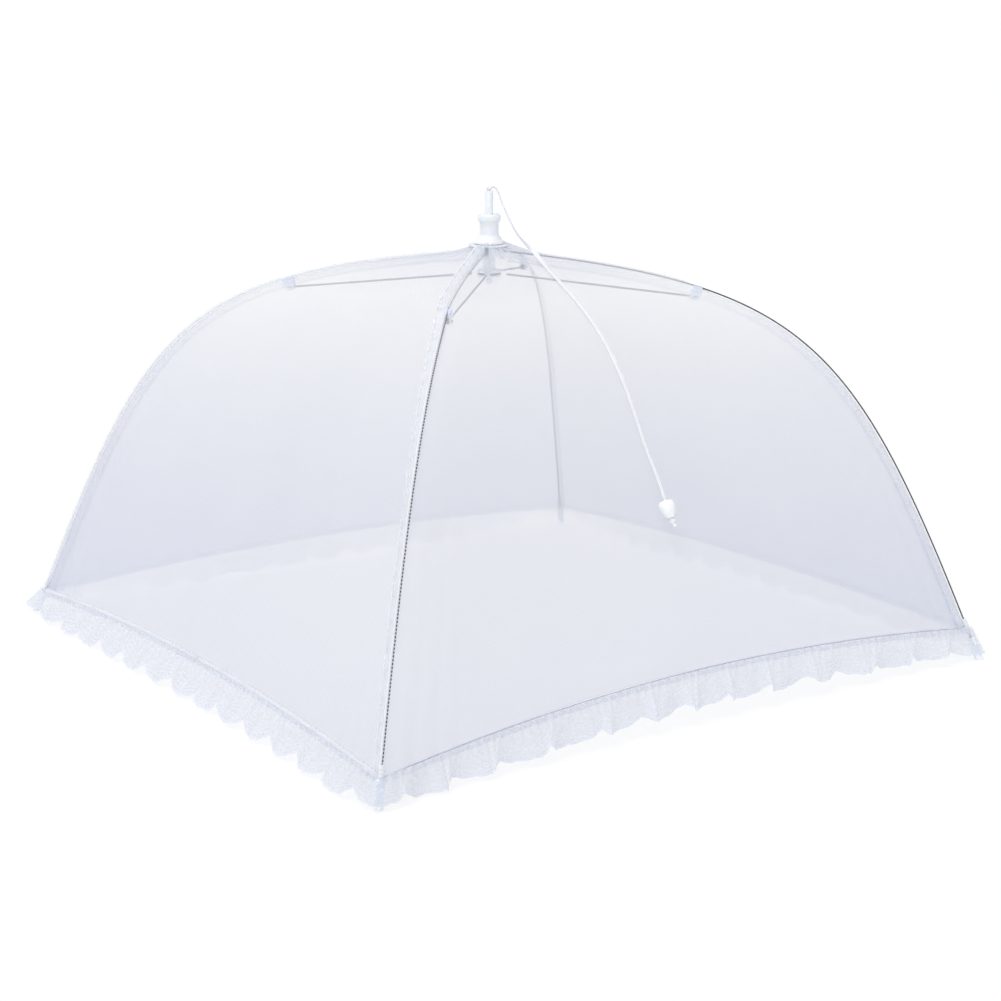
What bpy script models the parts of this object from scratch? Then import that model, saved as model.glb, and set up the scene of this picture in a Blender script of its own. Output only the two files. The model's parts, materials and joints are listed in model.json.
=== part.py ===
# Pop-up food cover: a net tent on four bowed wire ribs that fold like an umbrella.
# Metres, +Z up. The origin is on the table under the middle of the crown.
# The cover's four sides face -Y (front), +X (right), +Y (back) and -X (left).

import math

import bmesh
import bpy
import numpy
from mathutils import Matrix, Vector

# Whole cover
BASE_SIDE = 0.430            # hem corner to hem corner along one side
NET_TOP = 0.255              # underside of the hub, where the net is clamped
HEM_CORNER_HEIGHT = 0.015    # hem above the table at a rib
GAP = 0.0003                 # between pieces that touch
OVERRUN = 0.001              # how far a cutter runs past what it cuts
MERGE_DISTANCE = 0.000003    # points closer than this become one
FLOOR_GAP = 0.0015           # cloth above the table

# Hub on top, with its stem
HUB_SKIRT_R = 0.0095
HUB_SHOULDER_R = 0.0072
HUB_BODY_R = 0.0055
HUB_LIP_R = 0.0074
HUB_SKIRT_RISE = 0.0043
HUB_BODY_RISE = 0.0134
HUB_LIP_RISE = 0.0184
HUB_EDGE = 0.0007
STEM_R = 0.00245
STEM_BORE_R = 0.00145
STEM_RISE = 0.0328           # stem above the net
STEM_DROP = 0.0170           # stem below the net

# Rib carrier under the net, and the patch that the net's top is sewn to
PATCH_R = 0.0132
PATCH_THICKNESS = 0.0008
CARRIER_R = 0.0095
CARRIER_HEIGHT = 0.0060
RIB_PIVOT_R = 0.0070
RIB_SLOT_WIDTH = 0.0026
RIB_SLOT_INNER_R = 0.0045
PIN_R = 0.0006
PIN_LENGTH = 0.0060

# Ribs
RIB_R = 0.0009
RIB_EYE_R = 0.0019
RIB_EYE_THICKNESS = 0.0020
EYE_START_SHARE = 0.75       # of an eye's radius, where its wire starts
RIB_TIP_REACH = 0.0070       # rib end beyond the hem's corner
RIB_TIP_HEIGHT = 0.0045
RIB_HANDLE_SHARES = ((0.6615, 0.916), (0.748, 0.791))
TIP_CAP_R = 0.0024
TIP_CAP_LENGTH = 0.0105

# Runner under the crown, which the struts push and pull
RUNNER_NECK_R = 0.0038
RUNNER_NECK_HEIGHT = 0.0086
RUNNER_R = 0.0077
RUNNER_HEIGHT = 0.0047
RUNNER_FLOOR = 0.0037
RUNNER_EDGE = 0.0006
STRUT_PIVOT_R = 0.0065
STRUT_SLOT_WIDTH = 0.0026
STRUT_SLOT_INNER_R = 0.0042
RING_WIRE_R = 0.00045

# Struts and the clips that join them to the ribs
CLIP_SHARE = 0.268           # place along the rib's curve, from the crown
CLIP_WIDTH = 0.0050
CLIP_LENGTH = 0.0080
CLIP_RISE = 0.0020           # clip above the rib
CLIP_PIN_DROP = 0.0063       # pin below the rib
CLIP_TAIL = 0.0022           # clip below its pin
CLIP_EDGE = 0.0006
CLIP_BORE_GAP = 0.00045      # clip's bore around the rib
STRUT_R = 0.0008
STRUT_EYE_R = 0.0019
STRUT_EYE_THICKNESS = 0.0018
STRUT_FREE_END = 0.0047      # left open between a strut and its place on the runner

# Net, sleeves, hem and lace
NET_THICKNESS = 0.0006
NET_SAG = 0.007              # how far a panel draws in between its ribs
NET_CROWN_RISE = 0.0036      # net above the ribs at the patch
NET_CROWN_REACH = 0.032      # where the net comes down to the ribs
RIB_MARGIN = 0.0036          # cloth edge from the middle of a rib
SLEEVE_HALF_WIDTH = 0.0032
SLEEVE_INNER_R = 0.00155
SLEEVE_WALL = 0.0004
HEM_TAPE = 0.0040
HEM_THICKNESS = 0.0010
HEM_BOW = 0.007              # how far a hem draws in at its middle
HEM_RISES = (0.022, 0.011, 0.011, 0.008)   # hem's middle above its corners, by side
LACE_HEIGHT = 0.025
LACE_THICKNESS = 0.0006
LACE_PITCH = 0.030
LACE_WAVE = 0.0035           # how far the ruffle swings to each side at its edge
LACE_SCALLOP = 0.0030        # how far a scallop reaches below the notch beside it
LACE_FLARE = 0.005           # how far the lace's edge stands out where it hangs free
CORNER_SHARE = 0.12          # end part of a side over which the lace turns to the corner

# Cord
INNER_CORD_R = 0.0008
ANCHOR_KNOT_R = 0.0022
CORD_KNOT_R = 0.0019
PULL_CORD_R = 0.0010
BEAD_R = 0.0043
BEAD_LENGTH = 0.0125
BEAD_END_R = 0.0024
BEAD_HOLE_R = 0.0013
BEAD_OUTLINE_SHARES = ((0.7, 0), (0.94, 0.14), (1, 0.28), (0.9, 0.6))   # of its radius and length
TAIL_LENGTH = 0.0050
TAIL_KNOT_SHARE = 0.4         # knot's radius as a share of the tail's length

# Pull cord, from the knot on the stem down the front panel to its bead
PULL_CORD = (
    (0.0023, -0.0020, 0.2902),
    (0.0040, -0.0043, 0.2868),
    (0.0054, -0.0080, 0.2786),
    (0.0080, -0.0168, 0.2642),
    (0.0100, -0.0252, 0.2566),
    (0.0104, -0.0340, 0.2518),
    (0.0090, -0.0440, 0.2472),
    (0.0062, -0.0550, 0.2434),
    (0.0006, -0.0768, 0.2370),
    (-0.0024, -0.1002, 0.2265),
    (-0.0032, -0.1233, 0.2095),
    (-0.0036, -0.1419, 0.1886),
    (-0.0039, -0.1537, 0.1709),
    (-0.0037, -0.1626, 0.1552),
    (-0.0030, -0.1694, 0.1436),
    (-0.0025, -0.1749, 0.1346),
    (-0.0022, -0.1801, 0.1249),
)

# Round shapes
FINE = 20
ROUND = 12
WIRE_SIDES = 6
BALL_STEPS = 6
ARC_STEPS = 6
RIB_STEPS = 20
NET_ROWS = 10
NET_COLUMNS = 12
HEM_COLUMNS = 24
LACE_ROWS = 3
SCALLOP_COLUMNS = 4
CORD_STEPS = 52
SEARCH_STEPS = 50
QUARTER_TURN = math.pi / 2
SHARP_ANGLE = math.radians(40)

# Values that follow from the sizes above
HALF_DIAGONAL = BASE_SIDE / math.sqrt(2)
PATCH_Z = NET_TOP - GAP
CARRIER_TOP = PATCH_Z - PATCH_THICKNESS - GAP
CARRIER_BOTTOM = CARRIER_TOP - CARRIER_HEIGHT
RIB_PIVOT_Z = CARRIER_TOP - CARRIER_HEIGHT / 2
RUNNER_TOP = CARRIER_BOTTOM - GAP
FLANGE_TOP = RUNNER_TOP - RUNNER_NECK_HEIGHT
RUNNER_BOTTOM = FLANGE_TOP - RUNNER_HEIGHT
STRUT_PIVOT_Z = FLANGE_TOP - RUNNER_HEIGHT / 2
STEM_CLEAR_R = STEM_R + GAP
PIN_CLEAR_R = PIN_R + GAP
LACE_COUNT = round(BASE_SIDE / LACE_PITCH)
RIB_NAMES = ("back_right", "back_left", "front_left", "front_right")
SIDE_NAMES = ("front", "right", "back", "left")

# Colours: base colour, roughness, metallic
WHITE_PLASTIC = ((0.86, 0.87, 0.88), 0.45, 0.0)
STEEL_WIRE = ((0.66, 0.67, 0.68), 0.35, 0.9)
WHITE_NET = ((0.85, 0.88, 0.93), 0.8, 0.0)
WHITE_TAPE = ((0.88, 0.89, 0.91), 0.8, 0.0)
WHITE_LACE = ((0.90, 0.91, 0.93), 0.85, 0.0)
WHITE_CORD = ((0.90, 0.90, 0.90), 0.75, 0.0)
BEAD_PLASTIC = ((0.88, 0.88, 0.87), 0.4, 0.0)


def clear_scene():
    for old in list(bpy.data.objects):
        bpy.data.objects.remove(old, do_unlink=True)


def finish_material(name, look):
    colour, roughness, metallic = look
    material = bpy.data.materials.new(name)
    material.use_nodes = True
    shader = material.node_tree.nodes["Principled BSDF"]
    shader.inputs["Base Color"].default_value = (*colour, 1.0)
    shader.inputs["Roughness"].default_value = roughness
    shader.inputs["Metallic"].default_value = metallic
    return material


def new_object(name, mesh_data, look=None, parent=None):
    made = bpy.data.objects.new(name, mesh_data)
    bpy.context.scene.collection.objects.link(made)
    if look:
        mesh_data.materials.append(finish_material(name, look))
    if parent:
        made.parent = parent
        made.matrix_parent_inverse = parent.matrix_world.inverted()
    return made


def new_mesh(name, corners, faces):
    mesh = bpy.data.meshes.new(name)
    mesh.from_pydata([tuple(corner) for corner in corners], [], faces)
    mesh.update()
    return mesh


def smooth(mesh):
    mesh.shade_smooth()
    mesh.set_sharp_from_angle(angle=SHARP_ANGLE)


def hinge_empty(name, place, axis, parent=None):
    empty = bpy.data.objects.new(name, None)
    bpy.context.scene.collection.objects.link(empty)
    empty.matrix_world = Matrix.Translation(place) @ axis.to_track_quat("Z", "Y").to_matrix().to_4x4()
    if parent:
        bpy.context.view_layer.update()
        empty.parent = parent
        empty.matrix_parent_inverse = parent.matrix_world.inverted()
    bpy.context.view_layer.update()
    return empty


def turned_mesh(name, profile, segments=FINE, place=Vector(), axis=Vector((0, 0, 1))):
    """Turns a closed outline of (radius, height) pairs, counter-clockwise, about an axis."""
    turn = axis.to_track_quat("Z", "Y").to_matrix()
    corners = []
    for step in range(segments):
        angle = math.tau * step / segments
        for radius, height in profile:
            spot = Vector((radius * math.cos(angle), radius * math.sin(angle), height))
            corners.append(place + turn @ spot)
    count = len(profile)
    faces = []
    for step in range(segments):
        after = (step + 1) % segments
        for index in range(count):
            following = (index + 1) % count
            faces.append((step * count + index, after * count + index,
                          after * count + following, step * count + following))
    mesh = new_mesh(name, corners, faces)
    smooth(mesh)
    return mesh


def ring_profile(inner, outer, low, high):
    return [(inner, low), (outer, low), (outer, high), (inner, high)]


def rod_mesh(name, radius, start, end, segments=ROUND):
    """A plain round bar between two points."""
    tilt = (end - start).to_track_quat("Z", "Y").to_matrix()
    shape = bmesh.new()
    bmesh.ops.create_cone(shape, cap_ends=True, segments=segments, radius1=radius, radius2=radius,
                          depth=(end - start).length)
    bmesh.ops.transform(shape, matrix=Matrix.Translation((start + end) / 2) @ tilt.to_4x4(),
                        verts=shape.verts)
    mesh = bpy.data.meshes.new(name)
    shape.to_mesh(mesh)
    shape.free()
    smooth(mesh)
    return mesh


def box_mesh(name, size, place, axes):
    """A box of three lengths, along three given directions, about its middle."""
    shape = bmesh.new()
    bmesh.ops.create_cube(shape, size=1)
    turn = Matrix(axes).transposed().to_4x4()
    bmesh.ops.transform(shape, matrix=Matrix.Translation(place) @ turn @ Matrix.Diagonal((*size, 1)),
                        verts=shape.verts)
    bmesh.ops.recalc_face_normals(shape, faces=shape.faces)
    mesh = bpy.data.meshes.new(name)
    shape.to_mesh(mesh)
    shape.free()
    return mesh


def sweep_mesh(name, sections):
    """Skins rows of points, each row one closed section, and caps both ends."""
    count = len(sections[0])
    corners = [spot for section in sections for spot in section]
    faces = []
    for row in range(len(sections) - 1):
        for index in range(count):
            following = (index + 1) % count
            faces.append((row * count + index, row * count + following,
                          (row + 1) * count + following, (row + 1) * count + index))
    last = (len(sections) - 1) * count
    faces.append(tuple(reversed(range(count))))
    faces.append(tuple(range(last, last + count)))
    mesh = new_mesh(name, corners, faces)
    smooth(mesh)
    return mesh


def outward(mesh):
    """Turns every face of a closed mesh to the outside."""
    shape = bmesh.new()
    shape.from_mesh(mesh)
    bmesh.ops.recalc_face_normals(shape, faces=shape.faces)
    shape.to_mesh(mesh)
    shape.free()
    return mesh


def sheet_object(name, rows, thickness, look):
    """A thin closed sheet on a grid of points, with its thickness on the inner side."""
    columns = len(rows[0])
    corners = [spot for row in rows for spot in row]
    faces = []
    for row in range(len(rows) - 1):
        for column in range(columns - 1):
            first = row * columns + column
            faces.append((first, first + columns, first + columns + 1, first + 1))
    mesh = new_mesh(name, corners, faces)
    smooth(mesh)
    made = new_object(name, mesh, look)
    solid = made.modifiers.new("thickness", "SOLIDIFY")
    solid.thickness = thickness
    solid.offset = -1
    return made


def spun_object(name, outline, look, place=Vector(), axis=Vector((0, 0, 1)), parent=None):
    """Spins an outline of (radius, height) pairs, whose poles lie on the axis, about that axis."""
    turn = axis.to_track_quat("Z", "Y").to_matrix().to_4x4()
    shape = bmesh.new()
    ring = [shape.verts.new((radius, 0, height)) for radius, height in outline]
    edges = [shape.edges.new((ring[i], ring[(i + 1) % len(ring)])) for i in range(len(ring))
             if outline[i][0] or outline[(i + 1) % len(ring)][0]]
    bmesh.ops.spin(shape, geom=ring + edges, cent=(0, 0, 0), axis=(0, 0, 1), angle=math.tau,
                   steps=ROUND, use_merge=True)
    bmesh.ops.remove_doubles(shape, verts=shape.verts, dist=MERGE_DISTANCE)
    bmesh.ops.transform(shape, matrix=Matrix.Translation(place) @ turn, verts=shape.verts)
    bmesh.ops.recalc_face_normals(shape, faces=shape.faces)
    mesh = bpy.data.meshes.new(name)
    shape.to_mesh(mesh)
    shape.free()
    smooth(mesh)
    return new_object(name, mesh, look, parent)


def cutter(name, mesh):
    made = new_object(name, mesh)
    made.hide_render = True
    made.display_type = "WIRE"
    return made


def combine(target, tool, operation):
    step = target.modifiers.new(operation.lower(), "BOOLEAN")
    step.operation = operation
    step.object = tool
    step.solver = "EXACT"


def bevel_edges(target, width):
    step = target.modifiers.new("edges", "BEVEL")
    step.width = width
    step.segments = 1
    step.limit_method = "ANGLE"


# Directions and curves that the whole cover shares

def spoke(angle):
    return Vector((math.cos(angle), math.sin(angle), 0))


def across(angle):
    return Vector((-math.sin(angle), math.cos(angle), 0))


def rib_angle(index):
    return QUARTER_TURN * index + QUARTER_TURN / 2


def side_angle(index):
    return QUARTER_TURN * (index - 1)


RIB_START = (RIB_PIVOT_R, RIB_PIVOT_Z)
RIB_END = (HALF_DIAGONAL + RIB_TIP_REACH, RIB_TIP_HEIGHT)
RIB_HANDLES = tuple((a * HALF_DIAGONAL, b * NET_TOP) for a, b in RIB_HANDLE_SHARES)


def rib_spot(share):
    """Radius and height of the rib's centre line, from the pivot (0) to its end (1)."""
    rest = 1 - share
    weights = (rest ** 3, 3 * rest ** 2 * share, 3 * rest * share ** 2, share ** 3)
    places = (RIB_START, *RIB_HANDLES, RIB_END)
    return tuple(sum(w * place[k] for w, place in zip(weights, places)) for k in (0, 1))


def rib_tangent(share):
    rest = 1 - share
    places = (RIB_START, *RIB_HANDLES, RIB_END)
    weights = (rest ** 2, 2 * rest * share, share ** 2)
    run = [sum(w * (places[n + 1][k] - places[n][k]) for n, w in enumerate(weights)) for k in (0, 1)]
    length = math.hypot(*run)
    return run[0] / length, run[1] / length


def rib_share_where(test):
    """The share along the rib at which a test first holds."""
    low, high = 0.0, 1.0
    for _ in range(SEARCH_STEPS):
        middle = (low + high) / 2
        if test(rib_spot(middle)):
            high = middle
        else:
            low = middle
    return high


HEM_SHARE = rib_share_where(lambda spot: spot[1] <= HEM_CORNER_HEIGHT)
NET_START_SHARE = rib_share_where(lambda spot: spot[0] >= PATCH_R + GAP + NET_THICKNESS)
CLIP_SPOT = rib_spot(CLIP_SHARE)
CLIP_RUN = rib_tangent(CLIP_SHARE)
CLIP_PIN = (CLIP_SPOT[0] + CLIP_RUN[1] * CLIP_PIN_DROP, CLIP_SPOT[1] - CLIP_RUN[0] * CLIP_PIN_DROP)


def in_plane(angle, spot):
    """A point given by radius and height, in the upright plane at an angle."""
    return spoke(angle) * spot[0] + Vector((0, 0, spot[1]))


def cloth_spot(side, share, along):
    """A point of a net panel: share runs down its ribs, along from one rib (-1) to the other (1)."""
    radius, height = rib_spot(share)
    reach = radius / math.sqrt(2)
    fall = (share - NET_START_SHARE) / (HEM_SHARE - NET_START_SHARE)
    edge = 1 - RIB_MARGIN * math.sqrt(2) / reach
    place = along * edge
    bulge = 1 - place ** 2
    inward = (NET_SAG * math.sin(math.pi * fall) + HEM_BOW * fall ** 4) * bulge
    rise = HEM_RISES[side] * fall ** 6 * bulge
    crown = NET_CROWN_RISE * max(0.0, 1 - (radius - PATCH_R) / NET_CROWN_REACH) ** 2
    angle = side_angle(side)
    spot = spoke(angle) * (reach - inward) + across(angle) * reach * place
    return spot + Vector((0, 0, height + rise + crown))


def hem_direction(side, along):
    """The way a hem faces outwards, turning to the diagonal at its corners."""
    turn = max(0.0, (abs(along) - 1 + CORNER_SHARE) / CORNER_SHARE)
    turn = turn * turn * (3 - 2 * turn)
    return spoke(side_angle(side) + math.copysign(QUARTER_TURN / 2 * turn, along))


def hem_spot(side, along, below):
    """A point of the hem tape, a distance below the net's edge."""
    slope = rib_tangent(HEM_SHARE)
    way = hem_direction(side, along) * slope[0] + Vector((0, 0, slope[1]))
    return cloth_spot(side, HEM_SHARE, along) + way * below


def lace_spot(side, along, depth):
    """A point of the lace: depth runs from its sewn edge (0) to its scalloped edge (1)."""
    top = hem_spot(side, along, GAP + HEM_TAPE + GAP)
    phase = LACE_COUNT * (along + 1) / 2
    notch = 1 - abs(math.sin(math.pi * phase))
    length = (LACE_HEIGHT - LACE_SCALLOP * notch) * depth
    room = top.z - FLOOR_GAP - LACE_THICKNESS
    flare = LACE_FLARE / LACE_HEIGHT
    full_drop = LACE_HEIGHT * math.sqrt(1 - flare ** 2)
    drop_rate = min(full_drop, room) / LACE_HEIGHT
    out_rate = math.sqrt(1 - drop_rate ** 2)
    settle = min(1.0, (1 - abs(along)) / CORNER_SHARE)
    wave = LACE_WAVE * depth * settle * math.cos(math.tau * phase)
    way = hem_direction(side, along)
    across_lace = way * drop_rate + Vector((0, 0, out_rate))
    spot = top + way * out_rate * length - Vector((0, 0, drop_rate * length))
    spot += across_lace * wave
    spot.z = max(spot.z, FLOOR_GAP + LACE_THICKNESS)
    return spot


def wire_sections(spots, radius, side_way, sides=WIRE_SIDES):
    """Round sections along points that lie in one plane, whose normal is side_way."""
    sections = []
    for index, spot in enumerate(spots):
        before = spots[max(index - 1, 0)]
        after = spots[min(index + 1, len(spots) - 1)]
        run = (after - before).normalized()
        up = run.cross(side_way)
        ring = []
        for step in range(sides):
            angle = (math.tau * step + math.pi) / sides
            ring.append(spot + side_way * radius * math.cos(angle) - up * radius * math.sin(angle))
        sections.append(ring)
    return sections


# Crown

def make_hub():
    z = NET_TOP
    profile = [
        (STEM_CLEAR_R, z),
        (HUB_SKIRT_R, z),
        (HUB_SKIRT_R, z + HUB_EDGE),
        (HUB_SHOULDER_R, z + HUB_SKIRT_RISE),
        (HUB_BODY_R, z + HUB_SKIRT_RISE + HUB_EDGE),
        (HUB_BODY_R, z + HUB_BODY_RISE),
        (HUB_LIP_R - HUB_EDGE, z + HUB_BODY_RISE + HUB_EDGE),
        (HUB_LIP_R, z + HUB_BODY_RISE + HUB_EDGE * 2),
        (HUB_LIP_R, z + HUB_LIP_RISE - HUB_EDGE),
        (HUB_LIP_R - HUB_EDGE, z + HUB_LIP_RISE),
        (STEM_CLEAR_R, z + HUB_LIP_RISE),
    ]
    new_object("crown_hub", turned_mesh("crown_hub", profile), WHITE_PLASTIC)


def make_stem():
    profile = ring_profile(STEM_BORE_R, STEM_R, NET_TOP - STEM_DROP, NET_TOP + STEM_RISE)
    new_object("hub_stem", turned_mesh("hub_stem", profile), WHITE_PLASTIC)


def make_patch():
    profile = ring_profile(STEM_CLEAR_R, PATCH_R, PATCH_Z - PATCH_THICKNESS, PATCH_Z)
    new_object("crown_patch", turned_mesh("crown_patch", profile), WHITE_TAPE)


def slot_cutters(name, inner, outer, width, low, high):
    """Four upright slots, one at each rib's angle, as one cutter."""
    shape = bmesh.new()
    for index in range(len(RIB_NAMES)):
        angle = rib_angle(index)
        size = (outer - inner, width, high - low)
        middle = in_plane(angle, ((inner + outer) / 2, (low + high) / 2))
        block = box_mesh(name, size, middle, (spoke(angle), across(angle), Vector((0, 0, 1))))
        shape.from_mesh(block)
        bpy.data.meshes.remove(block)
    mesh = bpy.data.meshes.new(name)
    shape.to_mesh(mesh)
    shape.free()
    return cutter(name, mesh)


def pin_mesh(name, index, radius, length):
    """A round bar across a rib's slot, on the rib's hinge axis."""
    middle = in_plane(rib_angle(index), RIB_START)
    reach = across(rib_angle(index)) * length / 2
    return rod_mesh(name, radius, middle - reach, middle + reach)


def make_carrier():
    profile = ring_profile(STEM_CLEAR_R, CARRIER_R, CARRIER_BOTTOM, CARRIER_TOP)
    carrier = new_object("rib_carrier", turned_mesh("rib_carrier", profile), WHITE_PLASTIC)
    slots = slot_cutters("carrier_slots", RIB_SLOT_INNER_R, CARRIER_R + OVERRUN, RIB_SLOT_WIDTH,
                         CARRIER_BOTTOM - OVERRUN, CARRIER_TOP + OVERRUN)
    combine(carrier, slots, "DIFFERENCE")
    for index, label in enumerate(RIB_NAMES):
        hole_name = "carrier_hole_" + label
        hole = cutter(hole_name, pin_mesh(hole_name, index, PIN_CLEAR_R, PIN_LENGTH + GAP * 2))
        combine(carrier, hole, "DIFFERENCE")
        pin_name = "rib_pin_" + label
        new_object(pin_name, pin_mesh(pin_name, index, PIN_R, PIN_LENGTH), STEEL_WIRE)


# Ribs, with what is on them

def eye_mesh(name, place, outer, thickness, side_way):
    profile = ring_profile(PIN_CLEAR_R, outer, -thickness / 2, thickness / 2)
    return turned_mesh(name, profile, ROUND, place, side_way)


def make_rib(index, hinge):
    angle = rib_angle(index)
    side_way = across(angle)
    label = RIB_NAMES[index]
    name = "rib_" + label
    start_share = rib_share_where(lambda spot: spot[0] >= RIB_PIVOT_R + RIB_EYE_R * EYE_START_SHARE)
    shares = [start_share + (1 - start_share) * step / RIB_STEPS for step in range(RIB_STEPS + 1)]
    spots = [in_plane(angle, rib_spot(share)) for share in shares]
    rib = new_object(name, sweep_mesh(name, wire_sections(spots, RIB_R, side_way)), STEEL_WIRE, hinge)
    eye = cutter(name + "_eye", eye_mesh(name + "_eye", in_plane(angle, RIB_START), RIB_EYE_R,
                                         RIB_EYE_THICKNESS, side_way))
    combine(rib, eye, "UNION")


def make_tip(index, hinge):
    """The cap on a rib's end, cut flat where it stands on the table."""
    angle = rib_angle(index)
    name = "rib_tip_" + RIB_NAMES[index]
    way = in_plane(angle, rib_tangent(1))
    end = in_plane(angle, RIB_END)
    bore = RIB_R + GAP
    outline = [
        (TIP_CAP_R, -TIP_CAP_LENGTH),
        (TIP_CAP_R, TIP_CAP_LENGTH),
        (0, TIP_CAP_LENGTH),
        (0, GAP),
        (bore, GAP),
        (bore, -TIP_CAP_LENGTH),
    ]
    tip = spun_object(name, outline, WHITE_PLASTIC, end, way, hinge)
    reach = TIP_CAP_LENGTH * 3
    block = box_mesh(name + "_floor", (reach, reach, reach), end - Vector((0, 0, end.z + reach / 2)),
                     (spoke(angle), across(angle), Vector((0, 0, 1))))
    combine(tip, cutter(name + "_floor", block), "DIFFERENCE")


def make_sleeve(index, hinge):
    """A folded tape over the rib, open below, in two runs with the clip between them."""
    angle = rib_angle(index)
    side_way = across(angle)
    label = RIB_NAMES[index]
    inner = SLEEVE_INNER_R
    outer = inner + SLEEVE_WALL
    low = -SLEEVE_WALL / 2
    high = SLEEVE_WALL / 2
    section = [
        (-SLEEVE_HALF_WIDTH, low), (-inner, low), (-inner / 2, inner), (inner / 2, inner),
        (inner, low), (SLEEVE_HALF_WIDTH, low), (SLEEVE_HALF_WIDTH, high), (outer, high),
        (outer / 2, outer), (-outer / 2, outer), (-outer, high), (-SLEEVE_HALF_WIDTH, high),
    ]
    clear = CLIP_LENGTH / 2 + GAP * 2
    before_clip = rib_share_where(lambda spot: spot[0] >= CLIP_SPOT[0] - clear * CLIP_RUN[0])
    after_clip = rib_share_where(lambda spot: spot[0] >= CLIP_SPOT[0] + clear * CLIP_RUN[0])
    cap_start = rib_share_where(lambda spot: spot[1] <= HEM_CORNER_HEIGHT + HEM_TAPE)
    runs = {"inner": (NET_START_SHARE, before_clip), "outer": (after_clip, cap_start)}
    for place, (first, last) in runs.items():
        steps = round(RIB_STEPS * (last - first)) + 1
        sections = []
        for step in range(steps + 1):
            share = first + (last - first) * step / steps
            spot = in_plane(angle, rib_spot(share))
            run = in_plane(angle, rib_tangent(share))
            up = run.cross(side_way) * -1
            sections.append([spot + side_way * a + up * b for a, b in section])
        name = "rib_sleeve_" + place + "_" + label
        new_object(name, outward(sweep_mesh(name, sections)), WHITE_TAPE, hinge)


def make_clip(index, hinge):
    """The block on a rib that carries a strut's pin between two cheeks."""
    angle = rib_angle(index)
    side_way = across(angle)
    label = RIB_NAMES[index]
    name = "rib_clip_" + label
    run = in_plane(angle, CLIP_RUN)
    up = side_way.cross(run) * -1
    rib_place = in_plane(angle, CLIP_SPOT)
    pin_place = in_plane(angle, CLIP_PIN)
    height = CLIP_RISE + CLIP_PIN_DROP + CLIP_TAIL
    middle = rib_place + up * (CLIP_RISE - height / 2)
    axes = (run, side_way, up)
    clip = new_object(name, box_mesh(name, (CLIP_LENGTH, CLIP_WIDTH, height), middle, axes),
                      WHITE_PLASTIC, hinge)
    bevel_edges(clip, CLIP_EDGE)
    reach = run * (CLIP_LENGTH / 2 + OVERRUN)
    bore = cutter(name + "_bore", rod_mesh(name + "_bore", RIB_R + CLIP_BORE_GAP, rib_place - reach,
                                           rib_place + reach))
    combine(clip, bore, "DIFFERENCE")
    slot_height = STRUT_EYE_R + GAP * 2 + CLIP_TAIL + OVERRUN
    slot_place = pin_place + up * (STRUT_EYE_R + GAP * 2 - slot_height / 2)
    slot = box_mesh(name + "_slot", (CLIP_LENGTH + OVERRUN * 2, STRUT_EYE_THICKNESS + GAP * 2, slot_height),
                    slot_place, axes)
    combine(clip, cutter(name + "_slot", slot), "DIFFERENCE")
    hole_reach = side_way * (CLIP_WIDTH / 2 + OVERRUN)
    hole = rod_mesh(name + "_hole", PIN_CLEAR_R, pin_place - hole_reach, pin_place + hole_reach)
    combine(clip, cutter(name + "_hole", hole), "DIFFERENCE")
    pin_reach = side_way * (CLIP_WIDTH / 2 + GAP)
    pin = rod_mesh("clip_pin_" + label, PIN_R, pin_place - pin_reach, pin_place + pin_reach)
    new_object("clip_pin_" + label, pin, STEEL_WIRE, hinge)


def make_strut(index, hinge):
    angle = rib_angle(index)
    side_way = across(angle)
    name = "strut_" + RIB_NAMES[index]
    outer = in_plane(angle, CLIP_PIN)
    inner = in_plane(angle, (STRUT_PIVOT_R, STRUT_PIVOT_Z))
    way = (inner - outer).normalized()
    start = outer + way * STRUT_EYE_R * EYE_START_SHARE
    end = inner - way * STRUT_FREE_END
    strut = new_object(name, sweep_mesh(name, wire_sections([start, end], STRUT_R, side_way)),
                       STEEL_WIRE, hinge)
    eye = cutter(name + "_eye", eye_mesh(name + "_eye", outer, STRUT_EYE_R, STRUT_EYE_THICKNESS, side_way))
    combine(strut, eye, "UNION")


# Runner

def make_runner():
    groove = STRUT_PIVOT_Z
    half_groove = RING_WIRE_R + GAP
    floor_top = RUNNER_BOTTOM + RUNNER_FLOOR
    cord_hole = INNER_CORD_R + GAP
    profile = [
        (cord_hole, RUNNER_BOTTOM),
        (RUNNER_R - RUNNER_EDGE, RUNNER_BOTTOM),
        (RUNNER_R, RUNNER_BOTTOM + RUNNER_EDGE),
        (RUNNER_R, groove - half_groove),
        (RUNNER_R - half_groove * 2, groove - half_groove),
        (RUNNER_R - half_groove * 2, groove + half_groove),
        (RUNNER_R, groove + half_groove),
        (RUNNER_R, FLANGE_TOP - RUNNER_EDGE),
        (RUNNER_R - RUNNER_EDGE, FLANGE_TOP),
        (RUNNER_NECK_R, FLANGE_TOP),
        (RUNNER_NECK_R, RUNNER_TOP),
        (STEM_CLEAR_R, RUNNER_TOP),
        (STEM_CLEAR_R, floor_top),
        (cord_hole, floor_top),
    ]
    runner = new_object("runner", turned_mesh("runner", profile), WHITE_PLASTIC)
    slots = slot_cutters("runner_slots", STRUT_SLOT_INNER_R, RUNNER_R + OVERRUN, STRUT_SLOT_WIDTH,
                         RUNNER_BOTTOM - OVERRUN, FLANGE_TOP + OVERRUN)
    combine(runner, slots, "DIFFERENCE")


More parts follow.
